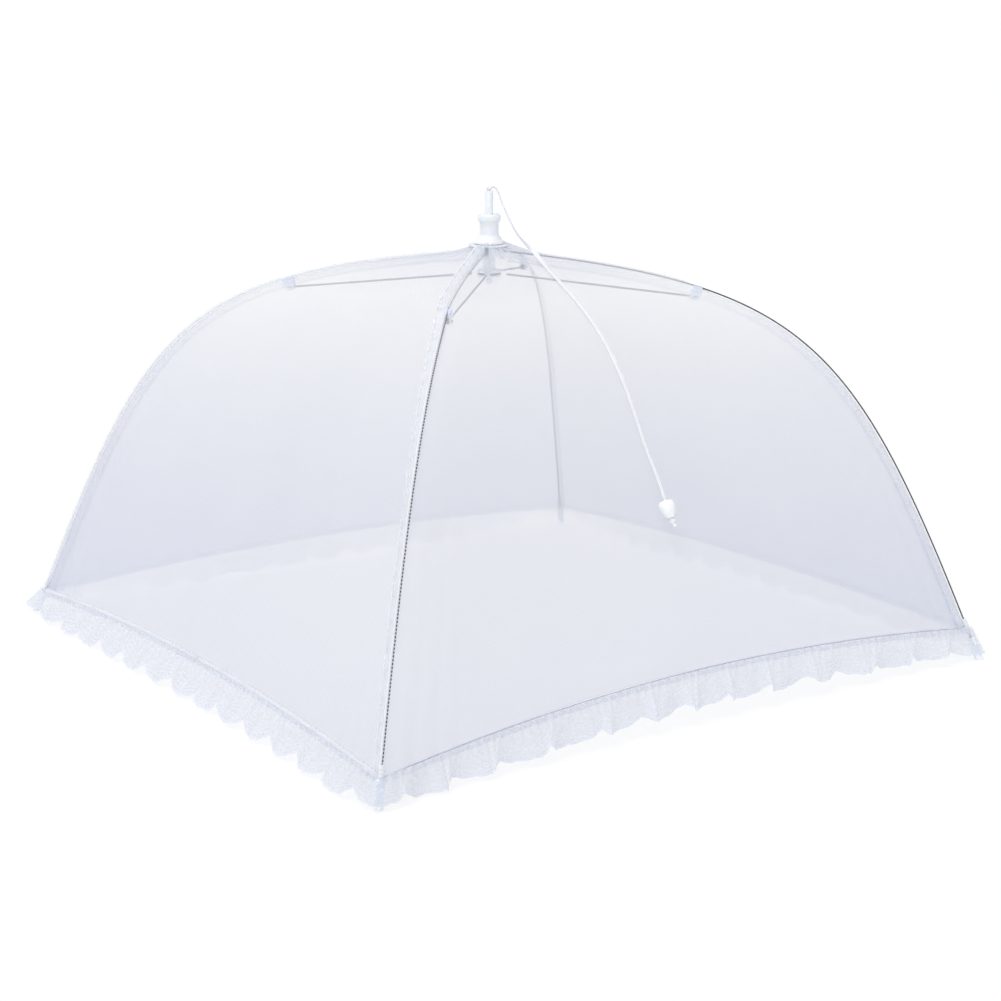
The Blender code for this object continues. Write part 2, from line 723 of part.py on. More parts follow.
def make_runner_wire():
    """The hinge wire in the runner's groove, cut where each strut passes."""
    radius = RUNNER_R - RING_WIRE_R - GAP
    trim = (STRUT_SLOT_WIDTH / 2 + RING_WIRE_R) / radius
    for index in range(len(RIB_NAMES)):
        name = "runner_wire_" + SIDE_NAMES[(index + 2) % len(SIDE_NAMES)]
        first = rib_angle(index) + trim
        last = rib_angle(index + 1) - trim
        sections = []
        for step in range(ARC_STEPS + 1):
            angle = first + (last - first) * step / ARC_STEPS
            middle = spoke(angle) * radius + Vector((0, 0, STRUT_PIVOT_Z))
            ring = []
            for side in range(WIRE_SIDES):
                turn = math.tau * side / WIRE_SIDES
                ring.append(middle + spoke(angle) * RING_WIRE_R * math.cos(turn)
                            + Vector((0, 0, RING_WIRE_R * math.sin(turn))))
            sections.append(ring)
        new_object(name, outward(sweep_mesh(name, sections)), STEEL_WIRE)


# Net, hem and lace

def even_steps(count):
    return [step / count for step in range(count + 1)]


def make_panel(side):
    name = "net_panel_" + SIDE_NAMES[side]
    rows = []
    for fall in even_steps(NET_ROWS):
        share = NET_START_SHARE + (HEM_SHARE - NET_START_SHARE) * fall
        rows.append([cloth_spot(side, share, 2 * step - 1) for step in even_steps(NET_COLUMNS)])
    sheet_object(name, rows, NET_THICKNESS, WHITE_NET)


def make_hem(side):
    name = "hem_tape_" + SIDE_NAMES[side]
    rows = []
    for below in (GAP, GAP + HEM_TAPE):
        rows.append([hem_spot(side, 2 * step - 1, below) for step in even_steps(HEM_COLUMNS)])
    sheet_object(name, rows, HEM_THICKNESS, WHITE_TAPE)


def make_lace(side):
    name = "lace_" + SIDE_NAMES[side]
    rows = []
    for depth in even_steps(LACE_ROWS):
        columns = even_steps(LACE_COUNT * SCALLOP_COLUMNS)
        rows.append([lace_spot(side, 2 * step - 1, depth) for step in columns])
    sheet_object(name, rows, LACE_THICKNESS, WHITE_LACE)


# Cords

def make_inner_cord():
    low = RUNNER_BOTTOM + RUNNER_FLOOR + GAP
    mesh = rod_mesh("inner_cord", INNER_CORD_R, Vector((0, 0, low)), Vector((0, 0, NET_TOP + STEM_RISE)),
                    WIRE_SIDES)
    new_object("inner_cord", mesh, WHITE_CORD)


def ball_profile(radius, middle, neck_r, neck_end):
    """A ball with a round neck, from its far pole to the neck's end."""
    outline = []
    join = math.acos(neck_r / radius)
    start = -QUARTER_TURN
    toward = math.copysign(1, neck_end - middle)
    for step in range(BALL_STEPS + 1):
        angle = start + (join - start) * step / BALL_STEPS
        outline.append((max(0.0, radius * math.cos(angle)), middle + toward * radius * math.sin(angle)))
    outline[0] = (0, middle - toward * radius)
    outline.append((neck_r, neck_end))
    outline.append((0, neck_end))
    return outline


def make_anchor_knot():
    middle = RUNNER_BOTTOM - GAP - ANCHOR_KNOT_R
    top = RUNNER_BOTTOM + RUNNER_FLOOR
    spun_object("cord_anchor_knot", ball_profile(ANCHOR_KNOT_R, middle, INNER_CORD_R, top), WHITE_CORD)


def make_cord_knot():
    middle = NET_TOP + STEM_RISE + GAP + CORD_KNOT_R
    outline = ball_profile(CORD_KNOT_R, middle, INNER_CORD_R, middle - CORD_KNOT_R)
    spun_object("cord_knot", outline, WHITE_CORD)


def smooth_route(points, steps):
    """Evenly spread points on one smooth curve through the route's own points."""
    route = [Vector(point) for point in points]
    guides = [route[0] * 2 - route[1], *route, route[-1] * 2 - route[-2]]
    dense = []
    for index in range(len(route) - 1):
        a, b, c, d = guides[index:index + 4]
        for step in range(ROUND):
            t = step / ROUND
            dense.append((b * 2 + (c - a) * t + (a * 2 - b * 5 + c * 4 - d) * t * t
                          + (b * 3 - a - c * 3 + d) * t ** 3) / 2)
    dense.append(route[-1])
    lengths = numpy.cumsum([0] + [(q - p).length for p, q in zip(dense, dense[1:])])
    even = numpy.linspace(0, lengths[-1], steps + 1)
    columns = [numpy.interp(even, lengths, [p[k] for p in dense]) for k in range(3)]
    return [Vector(spot) for spot in zip(*columns)]


def make_pull_cord():
    curve = bpy.data.curves.new("pull_cord", "CURVE")
    curve.dimensions = "3D"
    curve.bevel_depth = PULL_CORD_R
    curve.bevel_resolution = 2
    curve.use_fill_caps = True
    spots = smooth_route(PULL_CORD, CORD_STEPS)
    line = curve.splines.new("POLY")
    line.points.add(len(spots) - 1)
    for point, spot in zip(line.points, spots):
        point.co = (*spot, 1)
    new_object("pull_cord", curve, WHITE_CORD)


def make_bead():
    """The tapered bead, with the cord's knotted tail below it."""
    end = Vector(PULL_CORD[-1])
    way = (end - Vector(PULL_CORD[-2])).normalized()
    top = end + way * GAP
    outline = [(BEAD_HOLE_R, BEAD_LENGTH), (BEAD_HOLE_R, 0)]
    outline += [(BEAD_R * wide, BEAD_LENGTH * low) for wide, low in BEAD_OUTLINE_SHARES]
    outline.append((BEAD_END_R, BEAD_LENGTH))
    new_object("cord_bead", outward(turned_mesh("cord_bead", outline, FINE, top, way)), BEAD_PLASTIC)
    tail_r = BEAD_HOLE_R - GAP
    tail_end = BEAD_LENGTH + GAP + TAIL_LENGTH
    knot = ball_profile(TAIL_LENGTH * TAIL_KNOT_SHARE, tail_end - TAIL_LENGTH / 2, tail_r, GAP)
    spun_object("cord_tail", knot, WHITE_CORD, top, way)


clear_scene()
make_hub()
make_stem()
make_patch()
make_carrier()
crown = hinge_empty("crown", Vector((0, 0, NET_TOP)), Vector((0, 0, 1)))
for rib_index in range(len(RIB_NAMES)):
    plane = rib_angle(rib_index)
    rib_hinge = hinge_empty("rib_hinge_" + RIB_NAMES[rib_index], in_plane(plane, RIB_START),
                            across(plane), crown)
    make_rib(rib_index, rib_hinge)
    make_tip(rib_index, rib_hinge)
    make_sleeve(rib_index, rib_hinge)
    make_clip(rib_index, rib_hinge)
    strut_hinge = hinge_empty("strut_hinge_" + RIB_NAMES[rib_index], in_plane(plane, CLIP_PIN),
                              across(plane), rib_hinge)
    make_strut(rib_index, strut_hinge)
make_runner()
make_runner_wire()
for side_index in range(len(SIDE_NAMES)):
    make_panel(side_index)
    make_hem(side_index)
    make_lace(side_index)
make_inner_cord()
make_anchor_knot()
make_cord_knot()
make_pull_cord()
make_bead()
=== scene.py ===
import json
import math

import bmesh
import bpy
import numpy as np
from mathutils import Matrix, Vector


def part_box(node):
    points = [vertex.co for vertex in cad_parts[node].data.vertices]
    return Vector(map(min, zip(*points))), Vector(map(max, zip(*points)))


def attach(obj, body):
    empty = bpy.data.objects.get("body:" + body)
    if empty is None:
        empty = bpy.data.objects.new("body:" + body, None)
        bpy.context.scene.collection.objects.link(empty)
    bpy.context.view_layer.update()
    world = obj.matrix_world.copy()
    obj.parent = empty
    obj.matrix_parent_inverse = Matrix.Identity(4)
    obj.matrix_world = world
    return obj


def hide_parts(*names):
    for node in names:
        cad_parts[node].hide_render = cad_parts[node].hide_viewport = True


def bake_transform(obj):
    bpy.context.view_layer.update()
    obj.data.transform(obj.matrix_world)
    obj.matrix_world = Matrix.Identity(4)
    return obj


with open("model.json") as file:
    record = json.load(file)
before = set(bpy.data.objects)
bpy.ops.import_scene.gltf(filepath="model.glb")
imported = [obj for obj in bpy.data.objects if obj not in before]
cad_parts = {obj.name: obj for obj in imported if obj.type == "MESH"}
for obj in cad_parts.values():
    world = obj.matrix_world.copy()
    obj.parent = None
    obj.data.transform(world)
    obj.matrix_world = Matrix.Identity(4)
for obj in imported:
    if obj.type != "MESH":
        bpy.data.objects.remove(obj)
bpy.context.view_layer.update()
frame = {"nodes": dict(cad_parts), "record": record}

# Sizes as in the CAD part, in metres
BASE_SIDE = 0.430
HEM_CORNER_HEIGHT = 0.015
RIB_PIVOT_R = 0.0070
RIB_TIP_REACH = 0.0070
RIB_TIP_HEIGHT = 0.0045
RIB_HANDLE_SHARES = ((0.6615, 0.916), (0.748, 0.791))
NET_SAG = 0.007
NET_CROWN_REACH = 0.032
HEM_BOW = 0.007
HEM_TAPE = 0.0040
LACE_HEIGHT = 0.025
LACE_COUNT = 14
CORNER_SHARE = 0.12
CLIP_SHARE = 0.268
CLIP_PIN_DROP = 0.0063
CLIP_TAIL = 0.0022
STRUT_PIVOT_R = 0.0065
STRUT_FREE_END = 0.0047
QUARTER_TURN = math.pi / 2
RIB_NAMES = ("back_right", "back_left", "front_left", "front_right")
SIDE_NAMES = ("front", "right", "back", "left")

# Sizes read from the CAD solids
NET_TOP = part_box("crown_hub")[0].z
PATCH_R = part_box("crown_patch")[1].x
RIB_PIVOT_Z = (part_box("rib_carrier")[0].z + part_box("rib_carrier")[1].z) / 2
STRUT_PIVOT_Z = (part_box("runner_wire_front")[0].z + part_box("runner_wire_front")[1].z) / 2
STEM_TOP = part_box("hub_stem")[1].z
STEM_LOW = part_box("hub_stem")[0].z
STEM_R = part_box("hub_stem")[1].x
HALF_DIAGONAL = BASE_SIDE / math.sqrt(2)

# Wires, clips and threads
WIRE_R = 0.0006  # the struts, and what the sleeves are folded over
RIB_RS = (0.0006, 0.0006, 0.00036, 0.00045)  # as much of each rib as shows beside its tape
RIB_BOWS = (0, 0, 0.0038, 0)  # how far each rib bends to one side between its clip and the hem
BOW_REACH = 0.08  # how far from the rib the net is drawn along
EYE_HOLE_R = 0.0009
EYE_R = 0.0019
EYE_WIRE_START = 0.0014  # from the pin to where the wire leaves its eye
CLIP_TOP = 0.0003
CLIP_LENGTH = 0.0078
CLIP_WIDTH = 0.0044
CLIP_SLOT = 0.0024
CLIP_WAIST = -0.0030
TACK_LENGTH = 0.0110
TACK_TURNS = 13
TACK_THREAD_R = 0.00042
KNOT_STRAND_R = 0.00080
KNOT_RISE = 0.0014
KNOT_SIZE = 0.00062

# Net and hems; what differs from side to side goes front, right, back, left
COLLAR_R = 0.0101  # where the net's top is gathered round the hub's skirt
NET_LENGTH = 0.42  # one half panel as cut, from the crown to the hem
NET_CROWN_RISE = 0.0046
PLEAT_HEIGHT = 0.0012
PLEAT_REACH = 0.045
PUCKER_HEIGHT = 0.0054
PUCKER_SHARE = 0.16
DRAPE_DEPTH = 0.0012
RIDGE = 0.0013  # net from a rib's centre line: over the wire by the crown, under it below the clip
RIDGE_REACH = 0.010
RIDGE_FADE_SHARE = 0.03
WRAPPED_RIB = 1  # the back left rib, which the net passes under all along
HEM_RISES = (0.015, 0.011, 0.011, 0.006)
HEM_DROP = 0.0003  # from the net's edge to the top of the hem's tape
HEM_HALF_THICKNESS = 0.00085
HEM_LINE_RS = (0.00032, 0.0008, 0.0005, 0.0014)
# The front's hem_line look is darkened with painted seam shadow
HEM_LINE_LOOKS = ("hem_line", "thin_tape", "thin_tape", "seam")
CORNER_LIFTS = (0, 0, 0, 0.006)  # how far up its rib each corner of the cloth is drawn

# Sleeves
SLEEVE_DEPTH = 0.0068
SLEEVE_LEAN = (-0.6, 0.8)  # how far a sleeve leans sideways and inwards from its rib
SLEEVE_GAP = 0.0042  # bare rib on each side of the clip's middle
SLEEVE_EDGE = 0.0010  # raw edges beyond the seam
SLEEVE_SEAM_R = 0.00045
OUTSIDE_RIB = 2  # the front left rib, whose sleeve lies on the outside of the left panel
OUTSIDE_LIFT = 0.0008
LOOP_R = 0.0015  # the loop of tape round the back left rib

# Lace, by side as above
LACE_SCALLOPS = (0.0050, 0.0056, 0.0056, 0.0070)
LACE_SHARES = (  # its height along each side, from -1 at one rib to 1 at the other
    ((-1, 0.54), (-0.94, 0.54), (-0.6, 0.66), (-0.2, 0.73), (0.6, 0.70), (0.9, 0.54), (1, 0.64)),
    ((-1, 0.64), (-0.94, 0.54), (-0.8, 0.62), (0.8, 0.72), (1, 0.56)),
    ((-1, 0.56), (-0.8, 0.72), (0.8, 0.74), (1, 0.56)),
    ((-1, 0.56), (-0.7, 0.76), (-0.3, 0.83), (0.3, 0.80), (0.9, 0.66), (1, 0.54)),
)
LACE_TOPS = (0.15, 0.55, 0.15, 0.40)  # where on the hem's tape the lace is sewn, as a share
LACE_FOLDS = (13, 15, 15, 17)
LACE_SWINGS = (0.0028, 0.0024, 0.0024, 0.0012)
LACE_SWAYS = (0.0042, 0.0030, 0.0030, 0.0016)
LACE_FLARES = (0.20, 0.48)  # how far out it leans for its length, along a side and at the corners
LACE_OUTSIDES = (0.0010, 0.0034)  # how far outside the hem it lies, and how much further at the corners
LACE_PICOT = 0.0007
LACE_GATHER = 0.00045
FLOOR_GAP = 0.0012

# Hub, stem, and the pull cord's bead and tail
HUB_OUTLINE = (  # its radius and its height above the net, from the skirt's edge to the lip
    (0.0091, 0), (0.0094, 0.0003), (0.0094, 0.0008), (0.0088, 0.0016), (0.0080, 0.0026),
    (0.0075, 0.0036), (0.0072, 0.0043), (0.0064, 0.0047), (0.0060, 0.0053), (0.0059, 0.0062),
    (0.0058, 0.0100), (0.0059, 0.0124), (0.0062, 0.0133), (0.0067, 0.0138), (0.0071, 0.0145),
    (0.0072, 0.0154), (0.0072, 0.0168), (0.0070, 0.0178), (0.0066, 0.0184), (0.0060, 0.0184),
    (0.0054, 0.0180), (0.0046, 0.0178), (0.0036, 0.0179),
)
HUB_TOP_RISE = 0.0182
HUB_GAP = 0.0003
STEM_WALL = 0.0010
STEM_EDGE = 0.0002
BEAD_OUTLINE_SHARES = (  # of its radius and length
    (0.62, 0), (0.80, 0.03), (0.93, 0.10), (1, 0.22), (1, 0.34), (0.95, 0.48), (0.86, 0.62), (0.74, 0.78),
)
BEAD_LENGTH = 0.0104
BEAD_R = 0.0046
BEAD_END_R = 0.0022
BEAD_HOLE_R = 0.0012
TAIL_R = 0.0009
TAIL_ROUTE = (  # below the bead, and to its right
    (-0.0020, 0), (0, 0.0001), (0.0012, 0.0003), (0.0024, 0.0005), (0.0036, 0.0008), (0.0050, 0.0014),
)

# Light
SKY_LOW = 0.43  # from the horizon
SKY_HIGH = 0.78  # from straight above
FLOOR_WHITE = 0.72  # share of the floor that is seen as plain white
FLOOR_HALF = 12.0

# Photograph: its size, and the camera that was fitted to the ribs and hems
PHOTO_PX = 1001
FOCAL_PX = 2087.7
PRINCIPAL_PX = (489.55, 446.63)
SENSOR_MM = 36.0
CAMERA_AZIMUTH = math.radians(-34.53)
CAMERA_ELEVATION = math.radians(11.83)
CAMERA_DISTANCE = 1.338
CAMERA_TARGET = Vector((0, 0, 0.125))

# Pull cord, from the knot on the stem down the front panel to its bead
PULL_CORD = (
    (0.0023, -0.0020, 0.2902),
    (0.0040, -0.0043, 0.2868),
    (0.0054, -0.0080, 0.2786),
    (0.0080, -0.0168, 0.2642),
    (0.0100, -0.0252, 0.2566),
    (0.0104, -0.0340, 0.2518),
    (0.0090, -0.0440, 0.2472),
    (0.0062, -0.0550, 0.2434),
    (0.0006, -0.0768, 0.2370),
    (-0.0024, -0.1002, 0.2265),
    (-0.0032, -0.1233, 0.2095),
    (-0.0036, -0.1419, 0.1886),
    (-0.0039, -0.1537, 0.1709),
    (-0.0037, -0.1626, 0.1552),
    (-0.0030, -0.1694, 0.1436),
    (-0.0025, -0.1749, 0.1346),
    (-0.0022, -0.1801, 0.1249),
)
CORD_WIDTH = 0.0026
CORD_FIRST_SIDE = (-0.50, -0.80, 0.30)  # way of its width beside the stem
CORD_THICKNESS = 0.0007


# Camera

def make_camera():
    azimuth, elevation = CAMERA_AZIMUTH, CAMERA_ELEVATION
    back = Vector((math.sin(azimuth) * math.cos(elevation), -math.cos(azimuth) * math.cos(elevation),
                   math.sin(elevation)))
    right = Vector((math.cos(azimuth), math.sin(azimuth), 0))
    up = back.cross(right)
    middle = PHOTO_PX / 2
    aside, above = ((middle - place) / FOCAL_PX for place in PRINCIPAL_PX)
    aim = right * aside - up * above - back
    data = bpy.data.cameras.new("camera")
    data.sensor_width = SENSOR_MM
    data.lens = FOCAL_PX / PHOTO_PX * SENSOR_MM
    camera = bpy.data.objects.new("camera", data)
    camera.location = CAMERA_TARGET + back * CAMERA_DISTANCE
    camera.rotation_mode = "QUATERNION"
    camera.rotation_quaternion = aim.to_track_quat("-Z", "Y")
    bpy.context.scene.collection.objects.link(camera)
    bpy.context.scene.camera = camera


# Mesh helpers

def new_piece(name, corners, faces, uv=None, body=None, sharp=None):
    mesh = bpy.data.meshes.new(name)
    mesh.from_pydata([tuple(corner) for corner in corners], [], faces)
    mesh.update()
    if uv is not None:
        layer = mesh.uv_layers.new(name="UVMap")
        for loop in mesh.loops:
            layer.data[loop.index].uv = uv[loop.vertex_index]
    mesh.shade_smooth()
    if sharp:
        mesh.set_sharp_from_angle(angle=math.radians(sharp))
    made = bpy.data.objects.new(name, mesh)
    bpy.context.scene.collection.objects.link(made)
    if body:
        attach(made, body)
    return made


def grid_faces(rows, columns, closed=False):
    faces = []
    for row in range(rows - 1):
        for column in range(columns - (0 if closed else 1)):
            after = (column + 1) % columns
            faces.append((row * columns + column, (row + 1) * columns + column,
                          (row + 1) * columns + after, row * columns + after))
    return faces


def turned(name, profile, place, axis, segments=64, body=None, sharp=35):
    """Turns an open outline of (radius, height) pairs about an axis, with poles where it meets it."""
    turn = np.array(axis.to_track_quat("Z", "Y").to_matrix())
    corners = []
    for radius, height in profile:
        for step in range(segments):
            angle = math.tau * step / segments
            spot = turn @ np.array((radius * math.cos(angle), radius * math.sin(angle), height))
            corners.append(np.array(place) + spot)
    faces = [tuple(reversed(face)) for face in grid_faces(len(profile), segments, closed=True)]
    piece = new_piece(name, corners, faces, sharp=sharp)
    shape = bmesh.new()
    shape.from_mesh(piece.data)
    bmesh.ops.remove_doubles(shape, verts=shape.verts, dist=1e-6)
    bmesh.ops.holes_fill(shape, edges=shape.edges)
    bmesh.ops.recalc_face_normals(shape, faces=shape.faces)
    shape.to_mesh(piece.data)
    shape.free()
    piece.data.shade_smooth()
    piece.data.set_sharp_from_angle(angle=math.radians(sharp))
    if body:
        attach(piece, body)
    return piece


def run_lengths(spots):
    """How far along the line of points each of them lies."""
    steps = np.linalg.norm(np.diff(np.array(spots), axis=0), axis=1)
    return np.concatenate([[0], np.cumsum(steps)])


def smooth_route(points, steps):
    """Evenly spread points on one smooth curve through the route's own points."""
    route = np.array(points, float)
    guides = np.vstack([route[0] * 2 - route[1], route, route[-1] * 2 - route[-2]])
    dense = []
    for index in range(len(route) - 1):
        a, b, c, d = guides[index:index + 4]
        for t in np.linspace(0, 1, 24, endpoint=False):
            dense.append(0.5 * (b * 2 + (c - a) * t + (a * 2 - b * 5 + c * 4 - d) * t * t
                                 + (b * 3 - a - c * 3 + d) * t ** 3))
    dense.append(route[-1])
    dense = np.array(dense)
    lengths = run_lengths(dense)
    even = np.linspace(0, lengths[-1], steps + 1)
    return np.stack([np.interp(even, lengths, dense[:, k]) for k in range(3)], 1)


def frames_along(spots, first_side):
    """The run and a side direction at each point: carried along without twist, or as given for each."""
    run = np.gradient(spots, axis=0)
    run /= np.linalg.norm(run, axis=1, keepdims=True)
    given = np.array(first_side, float)
    sides = []
    for index, way in enumerate(run):
        side = given[index] if given.ndim > 1 else (sides[-1] if sides else given)
        side = side - way * (side @ way)
        sides.append(side / np.linalg.norm(side))
    return run, np.array(sides)


def swept(name, spots, section, first_side, body=None, scales=None, sharp=None):
    """Carries a closed section of (side, up) pairs along points, with flat ends."""
    spots = np.array(spots, float)
    run, side = frames_along(spots, first_side)
    up = np.cross(side, run)
    scales = np.ones(len(spots)) if scales is None else scales
    corners, uv = [], []
    lengths = run_lengths(spots)
    for index, spot in enumerate(spots):
        for a, b in section:
            corners.append(spot + (side[index] * a + up[index] * b) * scales[index])
            uv.append((a, lengths[index]))
    count = len(section)
    faces = [tuple(reversed(face)) for face in grid_faces(len(spots), count, closed=True)]
    faces.append(tuple(range(count)))
    faces.append(tuple(reversed(range((len(spots) - 1) * count, len(spots) * count))))
    return new_piece(name, corners, faces, uv, body, sharp)


def circle_section(radius, sides):
    return [(radius * math.cos(math.tau * k / sides), radius * math.sin(math.tau * k / sides))
            for k in range(sides)]


# Directions and curves of the cover

def spoke(angle):
    return np.array((math.cos(angle), math.sin(angle), 0.0))


def across(angle):
    return np.array((-math.sin(angle), math.cos(angle), 0.0))


UP = np.array((0.0, 0.0, 1.0))


def rib_angle(index):
    return QUARTER_TURN * (index + 0.5)


def side_angle(index):
    return QUARTER_TURN * (index - 1)


RIB_PLACES = ((RIB_PIVOT_R, RIB_PIVOT_Z),
              *((a * HALF_DIAGONAL, b * NET_TOP) for a, b in RIB_HANDLE_SHARES),
              (HALF_DIAGONAL + RIB_TIP_REACH, RIB_TIP_HEIGHT))


def rib_spot(share):
    rest = 1 - share
    weights = (rest ** 3, 3 * rest ** 2 * share, 3 * rest * share ** 2, share ** 3)
    return tuple(sum(w * place[k] for w, place in zip(weights, RIB_PLACES)) for k in (0, 1))


def rib_tangent(share):
    rest = 1 - share
    weights = (rest ** 2, 2 * rest * share, share ** 2)
    run = [sum(w * (RIB_PLACES[n + 1][k] - RIB_PLACES[n][k]) for n, w in enumerate(weights))
           for k in (0, 1)]
    length = math.hypot(*run)
    return run[0] / length, run[1] / length


def rib_share_where(test):
    low, high = 0.0, 1.0
    for _ in range(50):
        middle = (low + high) / 2
        low, high = (low, middle) if test(rib_spot(middle)) else (middle, high)
    return high


HEM_SHARE = rib_share_where(lambda spot: spot[1] <= HEM_CORNER_HEIGHT)
NET_START_SHARE = rib_share_where(lambda spot: spot[0] >= COLLAR_R)
SLEEVE_START_SHARE = rib_share_where(lambda spot: spot[0] >= PATCH_R)


def in_plane(angle, spot):
    return spoke(angle) * spot[0] + UP * spot[1]


def corner(side, hand):
    """The number of the rib at that end of a side."""
    return (side + 3) % 4 if hand > 0 else (side + 2) % 4


def rib_bow(index, share):
    along = np.clip((share - CLIP_SHARE) / (HEM_SHARE - CLIP_SHARE), 0, 1)
    return across(rib_angle(index)) * RIB_BOWS[index] * math.sin(math.pi * along ** 0.7)


def bowed_spot(index, share):
    return in_plane(rib_angle(index), rib_spot(share)) + rib_bow(index, share)


def ridge_at(share, rib):
    if rib == WRAPPED_RIB:
        return -RIDGE
    return -RIDGE * np.clip((share - CLIP_SHARE) / RIDGE_FADE_SHARE, -1, 1)


RIB_END_RATE = 3 * math.dist(RIB_PLACES[2], RIB_PLACES[3])  # length of rib to one share, at its end


def hem_share(side, along):
    lift = sum(CORNER_LIFTS[corner(side, hand)] * ((1 + hand * along) / 2) ** 2 for hand in (-1, 1))
    return HEM_SHARE - lift / RIB_END_RATE


def cloth_spot(side, share, along):
    """A point of a net panel: share runs down its ribs, along from one rib (-1) to the other (1)."""
    radius, height = rib_spot(share)
    run = rib_tangent(share)
    reach = radius / math.sqrt(2)
    fall = (share - NET_START_SHARE) / (HEM_SHARE - NET_START_SHARE)
    bulge = 1 - along ** 2
    inward = (NET_SAG * math.sin(math.pi * min(fall, 1)) + HEM_BOW * fall ** 4) * bulge
    rise = HEM_RISES[side] * fall ** 6 * bulge
    crown = NET_CROWN_RISE * max(0.0, 1 - (radius - COLLAR_R) / NET_CROWN_REACH) ** 2
    angle = side_angle(side)
    spot = spoke(angle) * (reach - inward) + across(angle) * reach * along
    away = reach * (1 - abs(along)) * math.sqrt(2)
    ridge = ridge_at(share, corner(side, along)) * math.exp(-(away / RIDGE_REACH) ** 2)
    diagonal = spoke(angle + math.copysign(QUARTER_TURN / 2, along))
    spot = spot + UP * (height + rise + crown)
    spot = spot + rib_bow(corner(side, along), share) * math.exp(-(away / BOW_REACH) ** 2)
    return spot + (diagonal * -run[1] + UP * run[0]) * ridge


def hem_direction(side, along):
    turn = max(0.0, (abs(along) - 1 + CORNER_SHARE) / CORNER_SHARE)
    turn = turn * turn * (3 - 2 * turn)
    return spoke(side_angle(side) + math.copysign(QUARTER_TURN / 2 * turn, along))


def hem_ways(side, along):
    """The way down the cloth and the way out of it at the hem."""
    slope = rib_tangent(HEM_SHARE)
    way = hem_direction(side, along)
    return way * slope[0] + UP * slope[1], way * -slope[1] + UP * slope[0]


def hem_spot(side, along, below):
    return cloth_spot(side, hem_share(side, along), along) + hem_ways(side, along)[0] * below


# Materials

class Nodes:
    """A short way to write the node tree of a material or a world."""

    def __init__(self, name, kind="materials"):
        self.owner = getattr(bpy.data, kind).new(name)
        self.owner.use_nodes = True
        self.tree = self.owner.node_tree
        self.shader = self.tree.nodes.get("Principled BSDF")

    def add(self, kind, **settings):
        node = self.tree.nodes.new(kind)
        for name, value in settings.items():
            setattr(node, name, value)
        return node

    def put(self, socket, value):
        if hasattr(value, "is_linked") or hasattr(value, "links"):
            self.tree.links.new(value, socket)
        else:
            socket.default_value = value

    def math(self, operation, *values, clamp=False):
        node = self.add("ShaderNodeMath", operation=operation, use_clamp=clamp)
        for socket, value in zip(node.inputs, values):
            self.put(socket, value)
        return node.outputs[0]

    def uv(self):
        split = self.add("ShaderNodeSeparateXYZ")
        self.put(split.inputs[0], self.add("ShaderNodeUVMap", uv_map="UVMap").outputs[0])
        return split.outputs[0], split.outputs[1]

    def place(self):
        return self.add("ShaderNodeTexCoord").outputs["Object"]

    def give(self, name, value):
        """Gives an input of the shader a value of its own or another node's output."""
        self.put(self.shader.inputs[name], value)

    def noise(self, scale, detail):
        node = self.add("ShaderNodeTexNoise")
        self.put(node.inputs["Vector"], self.place())
        node.inputs["Scale"].default_value = scale
        node.inputs["Detail"].default_value = detail
        return node.outputs["Fac"]

    def ramp(self, factor, stops):
        node = self.add("ShaderNodeValToRGB")
        while len(node.color_ramp.elements) < len(stops):
            node.color_ramp.elements.new(0.5)
        for element, (position, colour) in zip(node.color_ramp.elements, stops):
            element.position = position
            element.color = (*colour, 1.0)
        self.put(node.inputs[0], factor)
        return node.outputs[0]

    def mottle(self, scale, detail, colour, darker):
        """The colour, and in patches a darker share of it."""
        patch = tuple(c * darker for c in colour)
        return self.ramp(self.noise(scale, detail), [(0.3, patch), (0.7, colour)])

    def bump(self, height, strength, distance):
        node = self.add("ShaderNodeBump")
        node.inputs["Strength"].default_value = strength
        node.inputs["Distance"].default_value = distance
        self.put(node.inputs["Height"], height)
        self.give("Normal", node.outputs[0])

    def mixed(self, share, first, second):
        """Mixes two shaders; the share is the second one's."""
        node = self.add("ShaderNodeMixShader")
        for socket, value in zip(node.inputs, (share, first, second)):
            self.put(socket, value)
        return node.outputs[0]

    def show(self, surface):
        out = next(node for node in self.tree.nodes if node.type == "OUTPUT_MATERIAL")
        self.put(out.inputs["Surface"], surface)

    def seen(self):
        """1 for what the camera sees by itself, in a gloss or through glass, and 0 for the light."""
        path = self.add("ShaderNodeLightPath")
        seen = self.math("MAXIMUM", path.outputs["Is Camera Ray"], path.outputs["Is Glossy Ray"])
        return self.math("MAXIMUM", seen, path.outputs["Is Transmission Ray"])

    def cloth(self, alpha, colour, through=0.35):
        """Makes thin cloth: light passes through its threads, and its holes show what is behind."""
        glow = self.add("ShaderNodeBsdfTranslucent")
        self.put(glow.inputs["Color"], colour)
        self.give("Base Color", colour)
        lit = self.mixed(through, self.shader.outputs[0], glow.outputs[0])
        clear = self.add("ShaderNodeBsdfTransparent")
        self.show(self.mixed(alpha, clear.outputs[0], lit))

    def map_range(self, factor, low, high):
        """Maps 0..1 to a range."""
        node = self.add("ShaderNodeMapRange")
        self.put(node.inputs[0], factor)
        node.inputs[3].default_value = low
        node.inputs[4].default_value = high
        return node.outputs[0]


def threads(nodes, pitch, width):
    """A diamond net of threads on the cloth's own measure: 1 on a thread, 0 in a hole."""
    u, v = nodes.uv()
    found = None
    for sign in (1, -1):
        line = nodes.math("ADD", nodes.math("MULTIPLY", u, sign), v)
        wave = nodes.math("ABSOLUTE", nodes.math("SINE", nodes.math("MULTIPLY", line, math.pi / pitch)))
        thread = nodes.math("SUBTRACT", 1.0, nodes.math("DIVIDE", wave, width), clamp=True)
        found = thread if found is None else nodes.math("MAXIMUM", found, thread)
    return found


